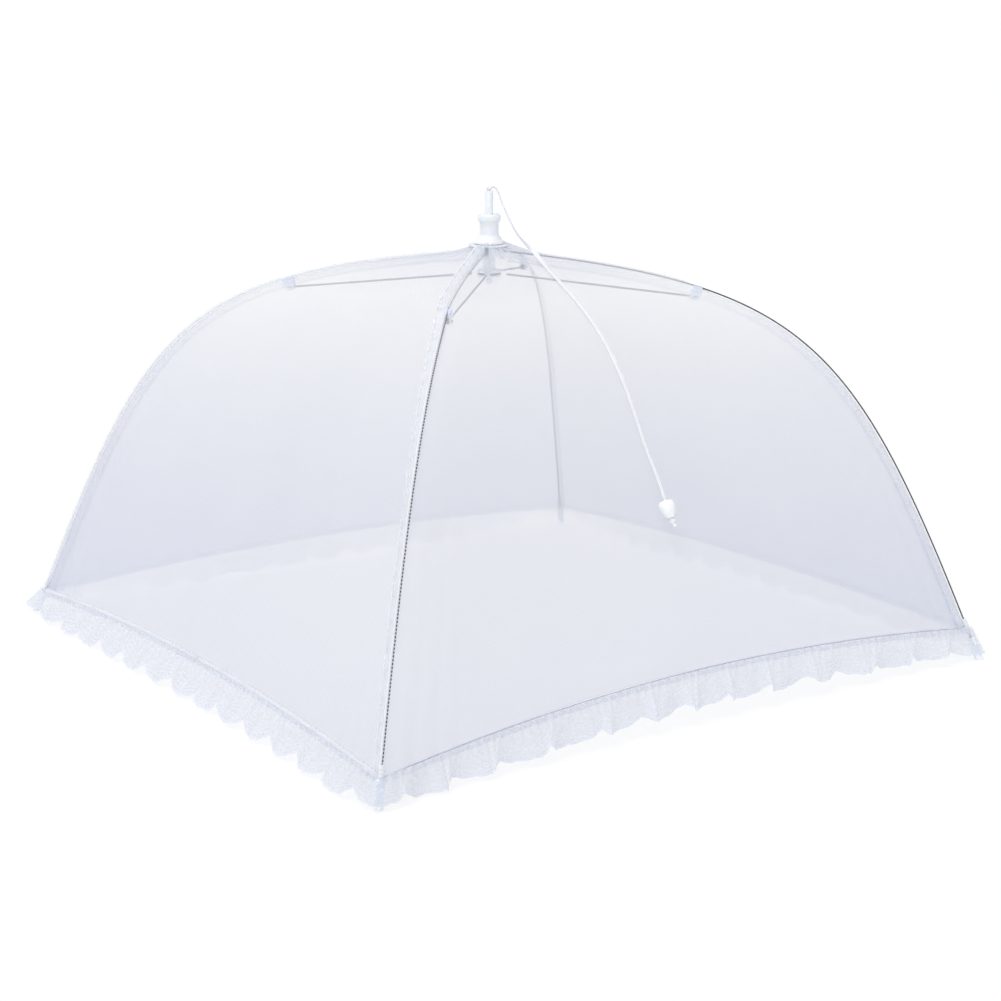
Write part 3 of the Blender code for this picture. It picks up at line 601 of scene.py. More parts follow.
def net_material(name, painted_shade_tints, solid, pitch, width=0.75):
    """Net on its own measure, with painted shade: pale below the crown, then darker and bluer towards its
    hem.
    """
    nodes = Nodes(name)
    mask = threads(nodes, pitch, width)
    alpha = nodes.math("MULTIPLY_ADD", mask, solid[1] - solid[0], solid[0])
    alpha = nodes.math("ADD", alpha, nodes.map_range(nodes.noise(9.0, 2.0), -0.02, 0.02), clamp=True)
    # Painted shade: the colour darkens and turns bluer down the cloth towards the hem, where the inside of
    # the cover is in shade
    fall = nodes.math("DIVIDE", nodes.uv()[1], NET_LENGTH)
    fall = nodes.math("ADD", fall, nodes.map_range(nodes.noise(12.0, 2.0), -0.08, 0.08))
    nodes.cloth(alpha, nodes.ramp(fall, painted_shade_tints))
    nodes.give("Roughness", 0.7)
    nodes.bump(mask, 0.2, 0.0002)
    return nodes.owner


def sleeve_material(name, colour, edge, alpha, edge_alpha):
    """Fine tape over the wire, with a whiter edge where it folds and where it is sewn."""
    nodes = Nodes(name)
    mask = threads(nodes, 0.0010, 0.8)
    turn = nodes.math("FRACT", nodes.math("DIVIDE", nodes.uv()[0], SLEEVE_DEPTH))
    side = nodes.math("ABSOLUTE", nodes.math("SUBTRACT", turn, 0.5))
    folded = nodes.ramp(side, [(0.34, (0, 0, 0)), (0.40, (1, 1, 1))])
    alpha = nodes.math("MULTIPLY_ADD", mask, 0.16, alpha)
    alpha = nodes.math("MAXIMUM", alpha, nodes.math("MULTIPLY", folded, edge_alpha))
    nodes.cloth(alpha, nodes.ramp(side, [(0.34, colour), (0.40, edge)]), 0.3)
    nodes.give("Roughness", 0.75)
    nodes.bump(mask, 0.4, 0.0002)
    return nodes.owner


def tape_material(name, colour, alpha=1.0, pitch=0.0007):
    nodes = Nodes(name)
    u, v = nodes.uv()
    weave = nodes.math("MULTIPLY",
                       nodes.math("SINE", nodes.math("MULTIPLY", u, math.tau / pitch)),
                       nodes.math("SINE", nodes.math("MULTIPLY", v, math.tau / pitch)))
    tint = nodes.mottle(60.0, 3.0, colour, 0.975)
    nodes.cloth(nodes.math("MULTIPLY_ADD", weave, 0.06, alpha - 0.06, clamp=True), tint, 0.4)
    nodes.give("Roughness", 0.8)
    nodes.bump(weave, 0.5, 0.00015)
    return nodes.owner


def lace_material(name, colour, solid=(0.56, 0.30)):
    """Soft sprigs on a fine ground, with rows of thread that follow the scalloped edge."""
    nodes = Nodes(name)
    depth = nodes.math("DIVIDE", nodes.uv()[1], LACE_HEIGHT)
    wobble = nodes.map_range(nodes.noise(80.0, 3.0), -0.26, 0.26)
    rows = nodes.math("SINE", nodes.math("MULTIPLY", nodes.math("ADD", depth, wobble), math.tau * 7))
    rows = nodes.math("MULTIPLY_ADD", rows, 0.5, 0.25, clamp=True)
    rows = nodes.math("MULTIPLY", rows, nodes.ramp(depth, [(0.30, (0, 0, 0)), (0.60, (1, 1, 1))]))
    sprigs = nodes.add("ShaderNodeTexVoronoi", feature="SMOOTH_F1")
    nodes.put(sprigs.inputs["Vector"], nodes.place())
    sprigs.inputs["Scale"].default_value = 250.0
    ring = nodes.math("ABSOLUTE", nodes.math("SUBTRACT", sprigs.outputs["Distance"], 0.36))
    ring = nodes.math("SUBTRACT", 1.0, nodes.math("MULTIPLY", ring, 7.0), clamp=True)
    ground = nodes.math("MULTIPLY", threads(nodes, 0.0011, 0.9), 0.4)
    pattern = nodes.math("MAXIMUM", nodes.math("MAXIMUM", rows, nodes.math("MULTIPLY", ring, 0.9)), ground)
    rim = nodes.ramp(depth, [(0.04, (1, 1, 1)), (0.09, (0, 0, 0)), (0.91, (0, 0, 0)), (0.95, (1, 1, 1))])
    pattern = nodes.math("MAXIMUM", pattern, rim)
    alpha = nodes.math("MULTIPLY_ADD", pattern, solid[1], solid[0])
    alpha = nodes.math("ADD", alpha, nodes.map_range(nodes.noise(120.0, 2.0), -0.08, 0.08), clamp=True)
    nodes.cloth(alpha, nodes.ramp(pattern, [(0.0, tuple(c * 0.95 for c in colour)), (1.0, colour)]), 0.45)
    nodes.give("Roughness", 0.75)
    nodes.bump(pattern, 0.5, 0.0003)
    return nodes.owner


def plastic_material(name, colour, roughness, subsurface=0.0):
    nodes = Nodes(name)
    nodes.give("Base Color", nodes.mottle(90.0, 3.0, colour, 0.975))
    nodes.give("Roughness", nodes.map_range(nodes.noise(300.0, 4.0), roughness - 0.06, roughness + 0.08))
    if subsurface:
        nodes.give("Subsurface Weight", subsurface)
        nodes.give("Subsurface Scale", 0.002)
    nodes.bump(nodes.noise(700.0, 3.0), 0.08, 0.0001)
    return nodes.owner


def steel_material(name, colour, roughness):
    nodes = Nodes(name)
    nodes.give("Base Color", nodes.mottle(200.0, 4.0, colour, 0.7))
    nodes.give("Roughness", nodes.map_range(nodes.noise(500.0, 4.0), roughness - 0.08, roughness + 0.10))
    nodes.give("Metallic", 0.9)
    nodes.bump(nodes.noise(900.0, 3.0), 0.15, 0.0001)
    return nodes.owner


def covered_wire_material(name, colour, thread, pitch=0.0020):
    """Dark wire under the threads of the net that is drawn tight over it."""
    nodes = Nodes(name)
    stripe = nodes.math("SINE", nodes.math("MULTIPLY", nodes.uv()[1], math.tau / pitch))
    stripe = nodes.math("MULTIPLY_ADD", stripe, 1.2, 0.1, clamp=True)
    nodes.give("Base Color", nodes.ramp(stripe, [(0.0, colour), (1.0, thread)]))
    nodes.give("Metallic", nodes.math("MULTIPLY_ADD", stripe, -0.6, 0.6))
    nodes.give("Roughness", 0.55)
    nodes.bump(stripe, 0.4, 0.0002)
    return nodes.owner


def cord_material(name, colour, pitch=0.0008):
    """A flat woven cord: slanted strands that cross at its middle."""
    nodes = Nodes(name)
    u, v = nodes.uv()
    line = nodes.math("ADD", nodes.math("ABSOLUTE", u), v)
    strands = nodes.math("ABSOLUTE", nodes.math("SINE", nodes.math("MULTIPLY", line, math.pi / pitch)))
    nodes.give("Base Color", nodes.ramp(strands, [(0.0, tuple(c * 0.93 for c in colour)), (0.5, colour)]))
    nodes.give("Roughness", 0.75)
    nodes.give("Sheen Weight", 0.2)
    nodes.bump(strands, 0.6, 0.0002)
    return nodes.owner


# Net colour by share of the way down the cloth: darker right by the collar, palest below the crown, then
# painted shade, darker and bluer, towards the hem
NET_PAINTED_SHADE_TINTS = ((0.03, (0.80, 0.82, 0.89)), (0.27, (0.97, 0.97, 0.985)), (0.75, (0.80, 0.82, 0.90)),
             (1.0, (0.70, 0.73, 0.86)))
TAPE_WHITE = (0.965, 0.975, 1.0)
SLEEVE_BLUE = (0.95, 0.965, 0.995)
LACE_WHITE = (0.84, 0.87, 0.95)
# Stitches on the front hem: their lilac-grey is partly the thread and partly painted seam shadow
SEAM_SHADOW_LILAC = (0.66, 0.68, 0.79)
PLASTIC_WHITE = (0.88, 0.91, 0.95)
CLIP_BLUE = (0.72, 0.76, 0.88)
STEEL_GREY = (0.33, 0.35, 0.41)
WIRE_DARK = (0.12, 0.125, 0.145)
COVERED_DARK = (0.035, 0.04, 0.05)
THREAD_GREY = (0.52, 0.55, 0.63)
CORD_WHITE = (0.90, 0.91, 0.95)

LOOKS = {
    "net": net_material("net", NET_PAINTED_SHADE_TINTS, (0.45, 0.58), 0.0015),
    "sleeve": sleeve_material("sleeve", SLEEVE_BLUE, TAPE_WHITE, 0.50, 0.97),
    "sheer_sleeve": sleeve_material("sheer_sleeve", SLEEVE_BLUE, TAPE_WHITE, 0.14, 0.30),
    "seam": tape_material("seam", TAPE_WHITE),
    "tape": tape_material("tape", TAPE_WHITE),
    "thin_tape": tape_material("thin_tape", LACE_WHITE, 0.3),
    "hem_line": tape_material("hem_line", SEAM_SHADOW_LILAC),
    "lace": lace_material("lace", LACE_WHITE),
    # Sheerer lace in the whiter tape colour for the back sides, which are seen in the shade inside the
    # cover: painted light
    "sheer_lace_painted_light": lace_material("sheer_lace_painted_light", TAPE_WHITE, (0.26, 0.34)),
    "hub_plastic": plastic_material("hub_plastic", PLASTIC_WHITE, 0.42, 0.2),
    "clip_plastic": plastic_material("clip_plastic", PLASTIC_WHITE, 0.38),
    "clip": plastic_material("clip", CLIP_BLUE, 0.38, 0.2),
    "bead": plastic_material("bead", (0.94, 0.95, 0.96), 0.34, 0.2),
    "steel": steel_material("steel", STEEL_GREY, 0.42),
    "bare_wire": steel_material("bare_wire", WIRE_DARK, 0.5),
    "covered_wire": covered_wire_material("covered_wire", COVERED_DARK, THREAD_GREY),
    "cord": cord_material("cord", CORD_WHITE),
}
RIB_LOOKS = ("steel", "seam", "covered_wire", "bare_wire")


def finish_look(piece, look):
    piece.data.materials.clear()
    piece.data.materials.append(LOOKS[look])


def dress_cad():
    """Gives every CAD node that stays its finish, by the record's slots."""
    looks = {part["node"]: part["material_slot"] for part in frame["record"]["subparts"]}
    for name, node in frame["nodes"].items():
        slot = looks[name]
        node.data.materials.clear()
        node.data.materials.append(LOOKS[slot])


# Pull cord

def make_cords():
    """The flat pull cord: edge on to the front left by the stem, then flat on the net."""
    spots = smooth_route((UP * (STEM_TOP + KNOT_RISE), *PULL_CORD), 210)
    lower = [(-1, -0.5), (-0.8, -1), (0, -0.8), (0.8, -1), (1, -0.5)]
    outline = lower + [(-a, -b) for a, b in lower]
    section = [(a * CORD_WIDTH / 2, b * CORD_THICKNESS / 2) for a, b in outline]
    places = np.linspace(0, 1, len(spots))
    flat = np.clip((places - 0.10) / 0.22, 0, 1)
    flat = (flat * flat * (3 - 2 * flat))[:, None]
    edge = np.clip((places - 0.88) / 0.10, 0, 1)[:, None] * 0.7
    wide = np.array(CORD_FIRST_SIDE) * (1 - flat) + np.array((1.0, 0, 0)) * flat + UP * edge
    narrower = 1 - 0.35 * np.clip((places - 0.70) / 0.25, 0, 1)
    cord = swept("pull_cord_ribbon", spots, section, wide, "crown", scales=narrower, sharp=50)
    finish_look(cord, "cord")
    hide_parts("pull_cord")
    knot = make_knot()
    bead, tail = make_bead()


def make_knot():
    """An overhand knot of the cord on the stem's top: a closed loop that crosses itself."""
    middle = UP * (STEM_TOP + KNOT_RISE)
    turns = np.linspace(0, math.tau, 90, endpoint=False)
    loop = np.stack([np.sin(turns) + 2 * np.sin(2 * turns), np.cos(turns) - 2 * np.cos(2 * turns),
                     -np.sin(3 * turns) * 1.6], 1) * KNOT_SIZE / 2
    corners, uv, sides = [], [], 10
    run = np.gradient(np.vstack([loop[-1], loop, loop[0]]), axis=0)[1:-1]
    run /= np.linalg.norm(run, axis=1, keepdims=True)
    for index, spot in enumerate(loop):
        side = np.cross(run[index], UP)
        side /= np.linalg.norm(side)
        up = np.cross(side, run[index])
        for step in range(sides):
            angle = math.tau * step / sides
            corners.append(middle + spot + (side * math.cos(angle) + up * math.sin(angle)) * KNOT_STRAND_R)
            uv.append((0.0015 * step / sides, index * 0.0002))
    faces = []
    for row in range(len(loop)):
        after = (row + 1) % len(loop)
        for step in range(sides):
            following = (step + 1) % sides
            faces.append((row * sides + step, row * sides + following, after * sides + following,
                          after * sides + step))
    knot = new_piece("stem_knot", corners, faces, uv, "crown")
    finish_look(knot, "cord")
    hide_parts("cord_knot")
    return knot


def make_bead():
    """The tapered bead at the cord's end, and the knotted tail that keeps it there."""
    top = Vector(PULL_CORD[-1])
    way = (top - Vector(PULL_CORD[-2])).normalized()
    length, hole = BEAD_LENGTH, BEAD_HOLE_R
    profile = [(hole, 0.0006), (hole + 0.0004, 0.0001)]
    profile += [(BEAD_R * a, length * b) for a, b in BEAD_OUTLINE_SHARES]
    profile += [(BEAD_END_R * 1.1, length * 0.93), (BEAD_END_R, length * 0.98),
                (BEAD_END_R - 0.0006, length), (hole, length), (hole, length - 0.001)]
    bead = turned("pull_bead", profile, top + way * 0.0003, way, body="crown", sharp=50)
    finish_look(bead, "bead")
    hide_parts("cord_bead")
    bottom = top + way * (length + 0.0004)
    route = [bottom + way * below + Vector((aside, 0, 0)) for below, aside in TAIL_ROUTE]
    spots = smooth_route(route, 30)
    places = np.linspace(0, 1, len(spots))
    swell = 0.9 + 1.1 * np.exp(-((places - 0.50) / 0.16) ** 2) + 0.5 * np.clip((places - 0.8) / 0.2, 0, 1)
    tail = swept("cord_tail_knot", spots, circle_section(TAIL_R, 14), (1, 0, 0), "crown", scales=swell)
    finish_look(tail, "cord")
    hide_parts("cord_tail")
    return bead, tail


# Hub and stem

def make_hub():
    bore = STEM_R + HUB_GAP
    profile = [(bore, NET_TOP), *((radius, NET_TOP + rise) for radius, rise in HUB_OUTLINE),
               (bore, NET_TOP + HUB_TOP_RISE)]
    hub = turned("hub_cap", profile, Vector(), Vector((0, 0, 1)), 96, "crown", 40)
    finish_look(hub, "hub_plastic")
    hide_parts("crown_hub")
    bore, edge = STEM_R - STEM_WALL, STEM_EDGE
    profile = [
        (bore, STEM_LOW), (STEM_R - edge, STEM_LOW), (STEM_R, STEM_LOW + edge), (STEM_R, NET_TOP + 0.0183),
        (STEM_R, STEM_TOP - edge * 3), (STEM_R - edge, STEM_TOP - edge / 2), (STEM_R - edge * 2, STEM_TOP),
        (bore + edge, STEM_TOP), (bore, STEM_TOP - edge * 1.5),
    ]
    stem = turned("stem_tube", profile, Vector(), Vector((0, 0, 1)), 64, "crown", 40)
    finish_look(stem, "hub_plastic")
    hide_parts("hub_stem")


# Ribs, struts and what is on them

def make_eye(name, spot, angle, half, body):
    """The ring that a wire's end is bent into, round its pin."""
    rim, edge = EYE_R - 0.0002, half - 0.0003
    profile = [(EYE_HOLE_R, -half), (rim, -half), (EYE_R, -edge), (EYE_R, edge), (rim, half),
               (EYE_HOLE_R, half), (EYE_HOLE_R, -half)]
    eye = turned(name, profile, Vector(spot), Vector(across(angle)), 32, body)
    finish_look(eye, "steel")


def make_ribs():
    for index, label in enumerate(RIB_NAMES):
        angle = rib_angle(index)
        body = "rib_" + label
        start = rib_share_where(lambda spot: spot[0] >= RIB_PIVOT_R + EYE_WIRE_START)
        shares = np.linspace(start, 1, 120)
        spots = [bowed_spot(index, share) for share in shares]
        wire = swept("rib_wire_" + label, spots, circle_section(RIB_RS[index], 14), across(angle), body)
        finish_look(wire, RIB_LOOKS[index])
        make_eye("rib_eye_" + label, in_plane(angle, (RIB_PIVOT_R, RIB_PIVOT_Z)), angle, 0.0008, body)
        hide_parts("rib_" + label)
        make_clip(angle, label, body)
        make_strut(angle, label)
        make_sleeve(angle, index, label, body)
        make_tack(angle, index, label, body)


def rounded_outline(spots, radius, steps=5):
    """A closed outline with each of its corners turned into an arc."""
    outline = []
    for index, spot in enumerate(spots):
        before = np.array(spots[index - 1]) - spot
        after = np.array(spots[(index + 1) % len(spots)]) - spot
        before, after = before / np.linalg.norm(before), after / np.linalg.norm(after)
        for share in np.linspace(0, 1, steps):
            outline.append(np.array(spot) + (before * (1 - share) ** 2 + after * share ** 2) * radius)
    return outline


def make_clip(angle, label, body):
    """A small moulded clip: its body grips the rib and two cheeks below hold the strut's pin."""
    spot, run = rib_spot(CLIP_SHARE), rib_tangent(CLIP_SHARE)
    along, up = in_plane(angle, run), in_plane(angle, (-run[1], run[0]))
    middle, side = in_plane(angle, spot), across(angle)
    top, waist, low, half = CLIP_TOP, CLIP_WAIST, -CLIP_PIN_DROP - CLIP_TAIL, CLIP_LENGTH / 2
    whole = rounded_outline([(-half, waist), (half, waist), (half * 0.8, top), (-half * 0.8, top)], 0.0009)
    foot = half * 0.62
    cheek = rounded_outline([(-foot, low), (foot, low), (half, waist), (-half, waist)], 0.0011)
    corners, faces = [], []
    wide, slot = CLIP_WIDTH / 2, CLIP_SLOT / 2
    for outline, left, right in ((whole, -wide, wide), (cheek, -wide, -slot), (cheek, slot, wide)):
        first, count = len(corners), len(outline)
        for place, inset in ((left, 0.88), (left + 0.0003, 1), (right - 0.0003, 1), (right, 0.88)):
            centre = np.mean(outline, axis=0)
            for point in outline:
                a, b = centre + (point - centre) * inset
                corners.append(middle + along * a + up * b + side * place)
        faces += [tuple(first + k for k in face) for face in grid_faces(4, count, closed=True)]
        faces.append(tuple(first + k for k in reversed(range(count))))
        faces.append(tuple(first + 3 * count + k for k in range(count)))
    clip = new_piece("clip_" + label, corners, faces, None, body, 40)
    finish_look(clip, "clip")
    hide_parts("rib_clip_" + label)


def make_tack(angle, index, label, body):
    """Turns of sewing thread that tie the hem's corner to the rib."""
    middle = HEM_SHARE - (CORNER_LIFTS[index] + TACK_LENGTH * 0.1) / RIB_END_RATE
    spots = []
    for turn in np.linspace(0, 1, 20 * TACK_TURNS):
        share = middle + (turn - 0.5) * TACK_LENGTH / RIB_END_RATE
        run = rib_tangent(share)
        swell = 0.0009 + 0.0004 * math.sin(math.pi * turn)
        way = across(angle) * math.cos(math.tau * TACK_TURNS * turn)
        way = way + in_plane(angle, (-run[1], run[0])) * math.sin(math.tau * TACK_TURNS * turn)
        spots.append(in_plane(angle, rib_spot(share)) + way * swell)
    thread = swept("corner_tack_" + label, spots, circle_section(TACK_THREAD_R, 6), across(angle), body)
    finish_look(thread, "cord")


def clip_pin_spot():
    spot, run = rib_spot(CLIP_SHARE), rib_tangent(CLIP_SHARE)
    return spot[0] + run[1] * CLIP_PIN_DROP, spot[1] - run[0] * CLIP_PIN_DROP


def make_strut(angle, label):
    body = "strut_" + label
    outer = in_plane(angle, clip_pin_spot())
    inner = in_plane(angle, (STRUT_PIVOT_R, STRUT_PIVOT_Z))
    way = (inner - outer) / np.linalg.norm(inner - outer)
    route = (outer + way * EYE_WIRE_START, (outer + inner) / 2, inner - way * STRUT_FREE_END)
    spots = smooth_route(route, 40)
    wire = swept("strut_wire_" + label, spots, circle_section(WIRE_R, 12), across(angle), body)
    finish_look(wire, "steel")
    make_eye("strut_eye_" + label, outer, angle, 0.0007, body)
    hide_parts("strut_" + label)


def sleeve_place(index, share):
    """The rib's point, the sleeve's way out from its seam to the rib, and the way across its layers."""
    angle, run = rib_angle(index), rib_tangent(share)
    spot, way = bowed_spot(index, share), in_plane(angle, run)
    outward = in_plane(angle, (-run[1], run[0]))
    if index == OUTSIDE_RIB:
        beside = 1 - SLEEVE_DEPTH / (rib_spot(share)[0] / math.sqrt(2))
        out = spot - cloth_spot(3, share, beside) - outward * OUTSIDE_LIFT
        out -= way * (out @ way)
        out /= np.linalg.norm(out)
    else:
        out = outward * SLEEVE_LEAN[1] - across(angle) * SLEEVE_LEAN[0]
    return spot, out, np.cross(way, out)


def make_sleeve(angle, index, label, body):
    """A folded tape with the rib in its fold, stitched along its inner edge."""
    seam = -SLEEVE_DEPTH
    layer = [(seam - SLEEVE_EDGE, 0.00012), (seam, 0.00015), (seam * 0.55, 0.0006), (-WIRE_R * 2, 0.0008)]
    fold = [(-WIRE_R * 1.4, 0)]
    if index == WRAPPED_RIB:
        fold = [(LOOP_R * math.cos(turn), LOOP_R * math.sin(turn)) for turn in np.linspace(2, -2, 11)]
    section = layer + fold + [(a, -b) for a, b in reversed(layer)]
    lengths = run_lengths(section)
    clip = rib_spot(CLIP_SHARE)[0]
    hem = HEM_SHARE - CORNER_LIFTS[index] / RIB_END_RATE
    runs = {
        "inner": (SLEEVE_START_SHARE, rib_share_where(lambda spot: spot[0] >= clip - SLEEVE_GAP), 60),
        "outer": (rib_share_where(lambda spot: spot[0] >= clip + SLEEVE_GAP), hem, 200),
    }
    for place, (first, last, steps) in runs.items():
        places = [sleeve_place(index, share) for share in np.linspace(first, last, steps)]
        travelled = run_lengths([spot for spot, out, flat in places])
        corners, uv = [], []
        for (spot, out, flat), length in zip(places, travelled):
            ripple = 0.00035 * math.sin(length * 480) + 0.0002 * math.sin(length * 1130 + index)
            for (a, b), measure in zip(section, lengths):
                shift = ripple * min(1.0, abs(min(a, 0)) / SLEEVE_DEPTH)
                corners.append(spot + out * a + flat * (b + shift))
                uv.append((measure, length))
        faces = grid_faces(steps, len(section))
        piece = new_piece("sleeve_%s_%s" % (place, label), corners, faces, uv, body)
        finish_look(piece, "sleeve" if index == OUTSIDE_RIB else "sheer_sleeve")
        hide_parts("rib_sleeve_%s_%s" % (place, label))
        stitches = [spot + out * seam for spot, out, flat in places]
        line = swept("sleeve_seam_%s_%s" % (place, label), stitches,
                     circle_section(SLEEVE_SEAM_R, 8), across(angle), body,
                     scales=1 + 0.25 * np.sin(np.arange(steps) * 2.1))
        finish_look(line, "seam" if index == OUTSIDE_RIB else "thin_tape")


# Net, hem and lace, in half sides shaped along the rib beside them

HALVES = [(side, hand) for side in range(4) for hand in (-1, 1)]


def fold_with(piece):
    """Bakes the piece's placement into its own mesh."""
    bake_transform(piece)


def half_name(side, hand):
    return SIDE_NAMES[side] + ("_a" if hand < 0 else "_b")


def lay_grid(name, side, hand, rows, columns, spot_at, uv_at):
    """Builds one half side: its points and their places on the flat cloth, by row share and along."""
    corners, uv, alongs = [], [], []
    for row in np.linspace(0, 1, rows):
        for column in np.linspace(0, 1, columns):
            along = hand * column
            corners.append(spot_at(side, row, along))
            uv.append(uv_at(row, along))
            alongs.append(along)
    faces = grid_faces(rows, columns)
    if hand < 0:
        faces = [tuple(reversed(face)) for face in faces]
    piece = new_piece(name, corners, faces, uv)
    return piece, np.array(alongs)


def net_spot(side, fall, along):
    """The panel's curve with pleats by the crown, puckers at the hem's corners and a slight drape."""
    share = NET_START_SHARE + (hem_share(side, along) - NET_START_SHARE) * fall
    spot = cloth_spot(side, share, along)
    radius = rib_spot(share)[0]
    bulge = 1 - along ** 2
    fade = math.exp(-(radius - COLLAR_R) / PLEAT_REACH)
    waves = math.sin(along * 13 + side) + 0.6 * math.sin(along * 29 + side * 2 + radius * 90)
    pleat = PLEAT_HEIGHT * fade * bulge * waves
    near_corner = math.exp(-((1 - abs(along)) / PUCKER_SHARE) ** 2) * fall ** 8
    pucker = PUCKER_HEIGHT * near_corner * bulge * math.sin(abs(along) * 95 + side * 2)
    drape = DRAPE_DEPTH * math.sin(fall * 7 + side) * math.sin(along * 5 + side * 1.7) * bulge * fall
    return spot + UP * (pleat + pucker) + spoke(side_angle(side)) * (drape + pucker)


def net_uv(fall, along):
    share = NET_START_SHARE + (HEM_SHARE - NET_START_SHARE) * fall
    return rib_spot(share)[0] / math.sqrt(2) * along, fall * NET_LENGTH


def make_net():
    for side, hand in HALVES:
        piece, alongs = lay_grid("net_" + half_name(side, hand), side, hand, 90, 48, net_spot, net_uv)
        finish_look(piece, "net")
        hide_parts("net_panel_" + SIDE_NAMES[side])
        trims = [make_hem(side, hand), make_hem_line(side, hand)]
        fold_with(piece)


def hem_tape_spot(side, turn, along):
    """The binding folds round the net's edge: a flat tube with a fuller lower edge."""
    centre = hem_spot(side, along, HEM_DROP + HEM_TAPE / 2)
    down, out = hem_ways(side, along)
    angle = math.tau * turn
    wave = 0.00022 * math.sin(along * 60 + side) + 0.00012 * math.sin(along * 143)
    return (centre + down * (math.cos(angle) * HEM_TAPE * 0.42 + wave)
            + out * math.sin(angle) * HEM_HALF_THICKNESS * (0.85 + 0.15 * math.cos(angle)))


def make_hem_line(side, hand):
    """The stitches along the top of the hem's tape, and on the left side its rolled edge."""
    label = half_name(side, hand)
    alongs = hand * np.linspace(0, 1, 160)
    spots = [hem_spot(side, along, HEM_DROP) + hem_ways(side, along)[1] * 0.0004 for along in alongs]
    sides = 10
    line = swept("hem_line_" + label, spots, circle_section(HEM_LINE_RS[side], sides), (0, 0, 1),
                 scales=1 + 0.1 * np.sin(np.arange(len(spots)) * 1.9))
    finish_look(line, HEM_LINE_LOOKS[side])
    fold_with(line)
    return line


def make_hem(side, hand):
    piece, alongs = lay_grid("hem_" + half_name(side, hand), side, hand, 17, 120, hem_tape_spot,
                             lambda turn, along: (turn * HEM_TAPE * 2, along * BASE_SIDE / 2))
    finish_look(piece, "tape" if side == 3 else "thin_tape")
    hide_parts("hem_tape_" + SIDE_NAMES[side])
    fold_with(piece)
    return piece


def lace_spot(side, depth, along):
    """Gathered lace: it swings in and out in uneven folds that open towards its scalloped edge."""
    top = hem_spot(side, along, HEM_TAPE * LACE_TOPS[side])
    lobe = 2 * ((LACE_COUNT * (along + 1) + 1) / 2 % 1) - 1
    notch = abs(lobe) ** 3
    picot = LACE_PICOT * abs(math.sin(math.pi * lobe * 2.5))
    settle = min(1.0, (1 - abs(along)) / (CORNER_SHARE * 0.6))
    height = LACE_HEIGHT * np.interp(along, *zip(*LACE_SHARES[side])) + HEM_TAPE * (1 - LACE_TOPS[side])
    length = (height - LACE_SCALLOPS[side] * notch) * depth + picot * depth ** 6
    room = top[2] - FLOOR_GAP - 0.0006
    flare = LACE_FLARES[0] + (LACE_FLARES[1] - LACE_FLARES[0]) * abs(along) ** 14
    drop_rate = min(math.sqrt(1 - flare ** 2), room / height)
    out_rate = math.sqrt(1 - drop_rate ** 2)
    shift = side * 1.9
    turn = math.tau * LACE_FOLDS[side] * (along + 1) / 2 + 1.3 * math.sin(along * 7 + shift) + shift
    fold = math.sin(turn) + 0.45 * math.sin(turn * 2.2 + shift + 2 * math.sin(along * 4))
    wave = LACE_SWINGS[side] * depth ** 1.2 * settle * fold
    gather = LACE_GATHER * math.sin(math.tau * 75 * (along + 1) / 2 + shift) * (1 - depth) ** 2
    outside = LACE_OUTSIDES[0] + LACE_OUTSIDES[1] * abs(along) ** 24
    way = hem_direction(side, along)
    normal = way * drop_rate + UP * out_rate
    sway = across(side_angle(side)) * LACE_SWAYS[side] * depth * settle * math.cos(turn)
    spot = top + way * out_rate * length - UP * drop_rate * length
    spot = spot + normal * (wave + gather + outside) + sway
    spot[2] = max(spot[2], FLOOR_GAP + 0.0006 * (1 + math.sin(along * 40 + side)) / 2)
    return spot


def make_lace():
    for side, hand in HALVES:
        label = half_name(side, hand)
        piece, alongs = lay_grid("lace_edge_" + label, side, hand, 22, 420, lace_spot,
                                 lambda depth, along: ((along + 1) * BASE_SIDE / 2, depth * LACE_HEIGHT))
        # The back sides get the whiter, sheerer lace: painted light that stands in for the light they lack
        # inside the cover
        finish_look(piece, "sheer_lace_painted_light" if side in (1, 2) else "lace")
        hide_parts("lace_" + SIDE_NAMES[side])
        fold_with(piece)


# Studio

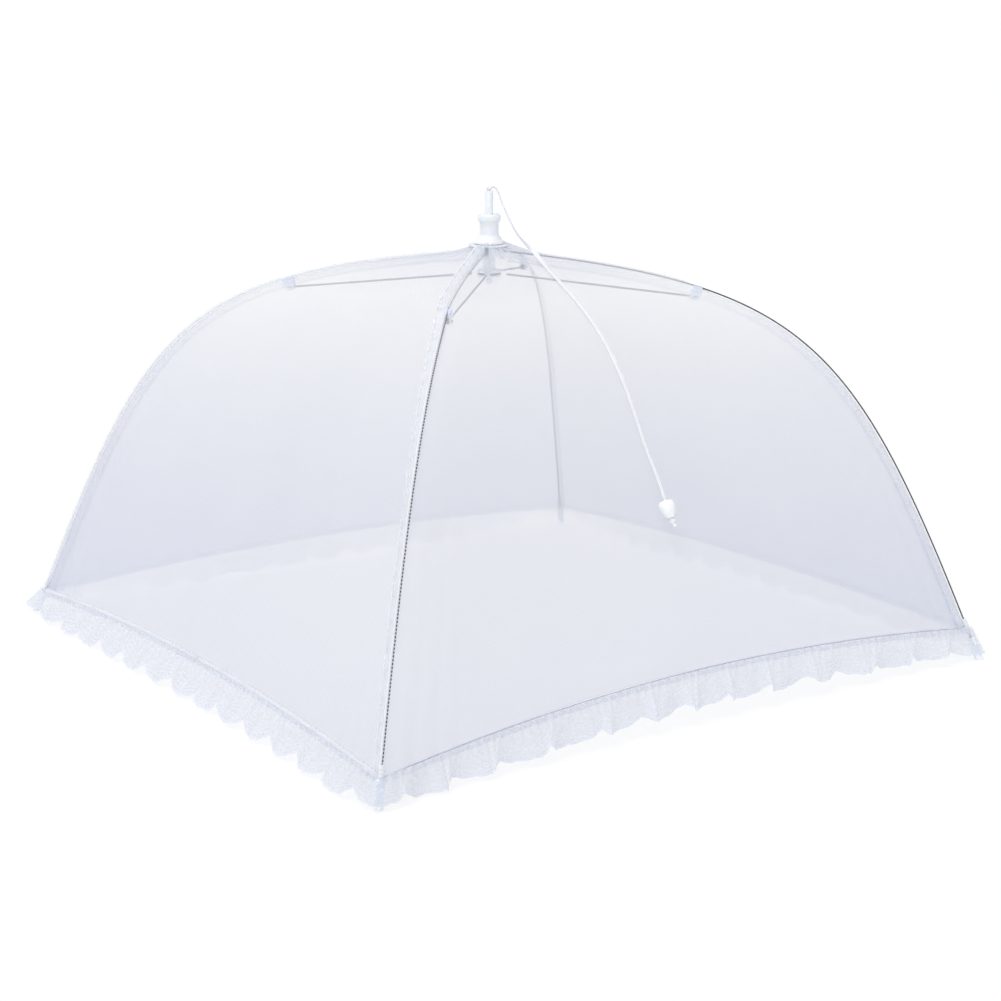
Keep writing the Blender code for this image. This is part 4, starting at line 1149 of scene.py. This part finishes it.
def make_world():
    """Soft, slightly blue light from all round, with a white backdrop for the camera."""
    nodes = Nodes("studio", "worlds")
    nodes.tree.nodes.clear()
    light = nodes.add("ShaderNodeBackground")
    light.inputs["Color"].default_value = (0.95, 0.97, 1.0, 1.0)
    place = nodes.add("ShaderNodeSeparateXYZ")
    nodes.put(place.inputs[0], nodes.add("ShaderNodeTexCoord").outputs["Generated"])
    nodes.put(light.inputs["Strength"], nodes.map_range(place.outputs[2], SKY_LOW, SKY_HIGH))
    white = nodes.add("ShaderNodeBackground")
    white.inputs["Color"].default_value = (1.0, 1.0, 1.0, 1.0)
    out = nodes.add("ShaderNodeOutputWorld")
    nodes.put(out.inputs[0], nodes.mixed(nodes.seen(), light.outputs[0], white.outputs[0]))
    bpy.context.scene.world = nodes.owner


def make_floor():
    corners = [(x * FLOOR_HALF, y * FLOOR_HALF, 0) for x, y in ((-1, -1), (1, -1), (1, 1), (-1, 1))]
    floor = new_piece("floor", corners, [(0, 1, 2, 3)])
    nodes = Nodes("floor")
    nodes.give("Base Color", (0.95, 0.95, 0.95, 1.0))
    nodes.give("Roughness", 1.0)
    nodes.give("Specular IOR Level", 0.0)
    glow = nodes.add("ShaderNodeEmission")
    glow.inputs["Color"].default_value = (1.0, 1.0, 1.0, 1.0)
    share = nodes.math("MULTIPLY", nodes.seen(), FLOOR_WHITE)
    nodes.show(nodes.mixed(share, nodes.shader.outputs[0], glow.outputs[0]))
    floor.data.materials.append(nodes.owner)


def make_sun(name, way, strength, angle, colour=(1, 1, 1)):
    data = bpy.data.lights.new(name, "SUN")
    data.energy = strength
    data.angle = math.radians(angle)
    data.color = colour
    sun = bpy.data.objects.new(name, data)
    sun.rotation_mode = "QUATERNION"
    sun.rotation_quaternion = Vector(way).to_track_quat("Z", "Y")
    bpy.context.scene.collection.objects.link(sun)


def make_lights():
    make_sun("key", (-0.30, 0.02, 1.0), 1.18, 35, (1.0, 0.99, 0.98))
    make_sun("fill", (-0.66, -0.76, 0.30), 0.80, 70)


make_camera()
dress_cad()
make_cords()
make_hub()
make_ribs()
make_net()
make_lace()
make_world()
make_floor()
make_lights()
bpy.context.scene.view_settings.view_transform = "Standard"
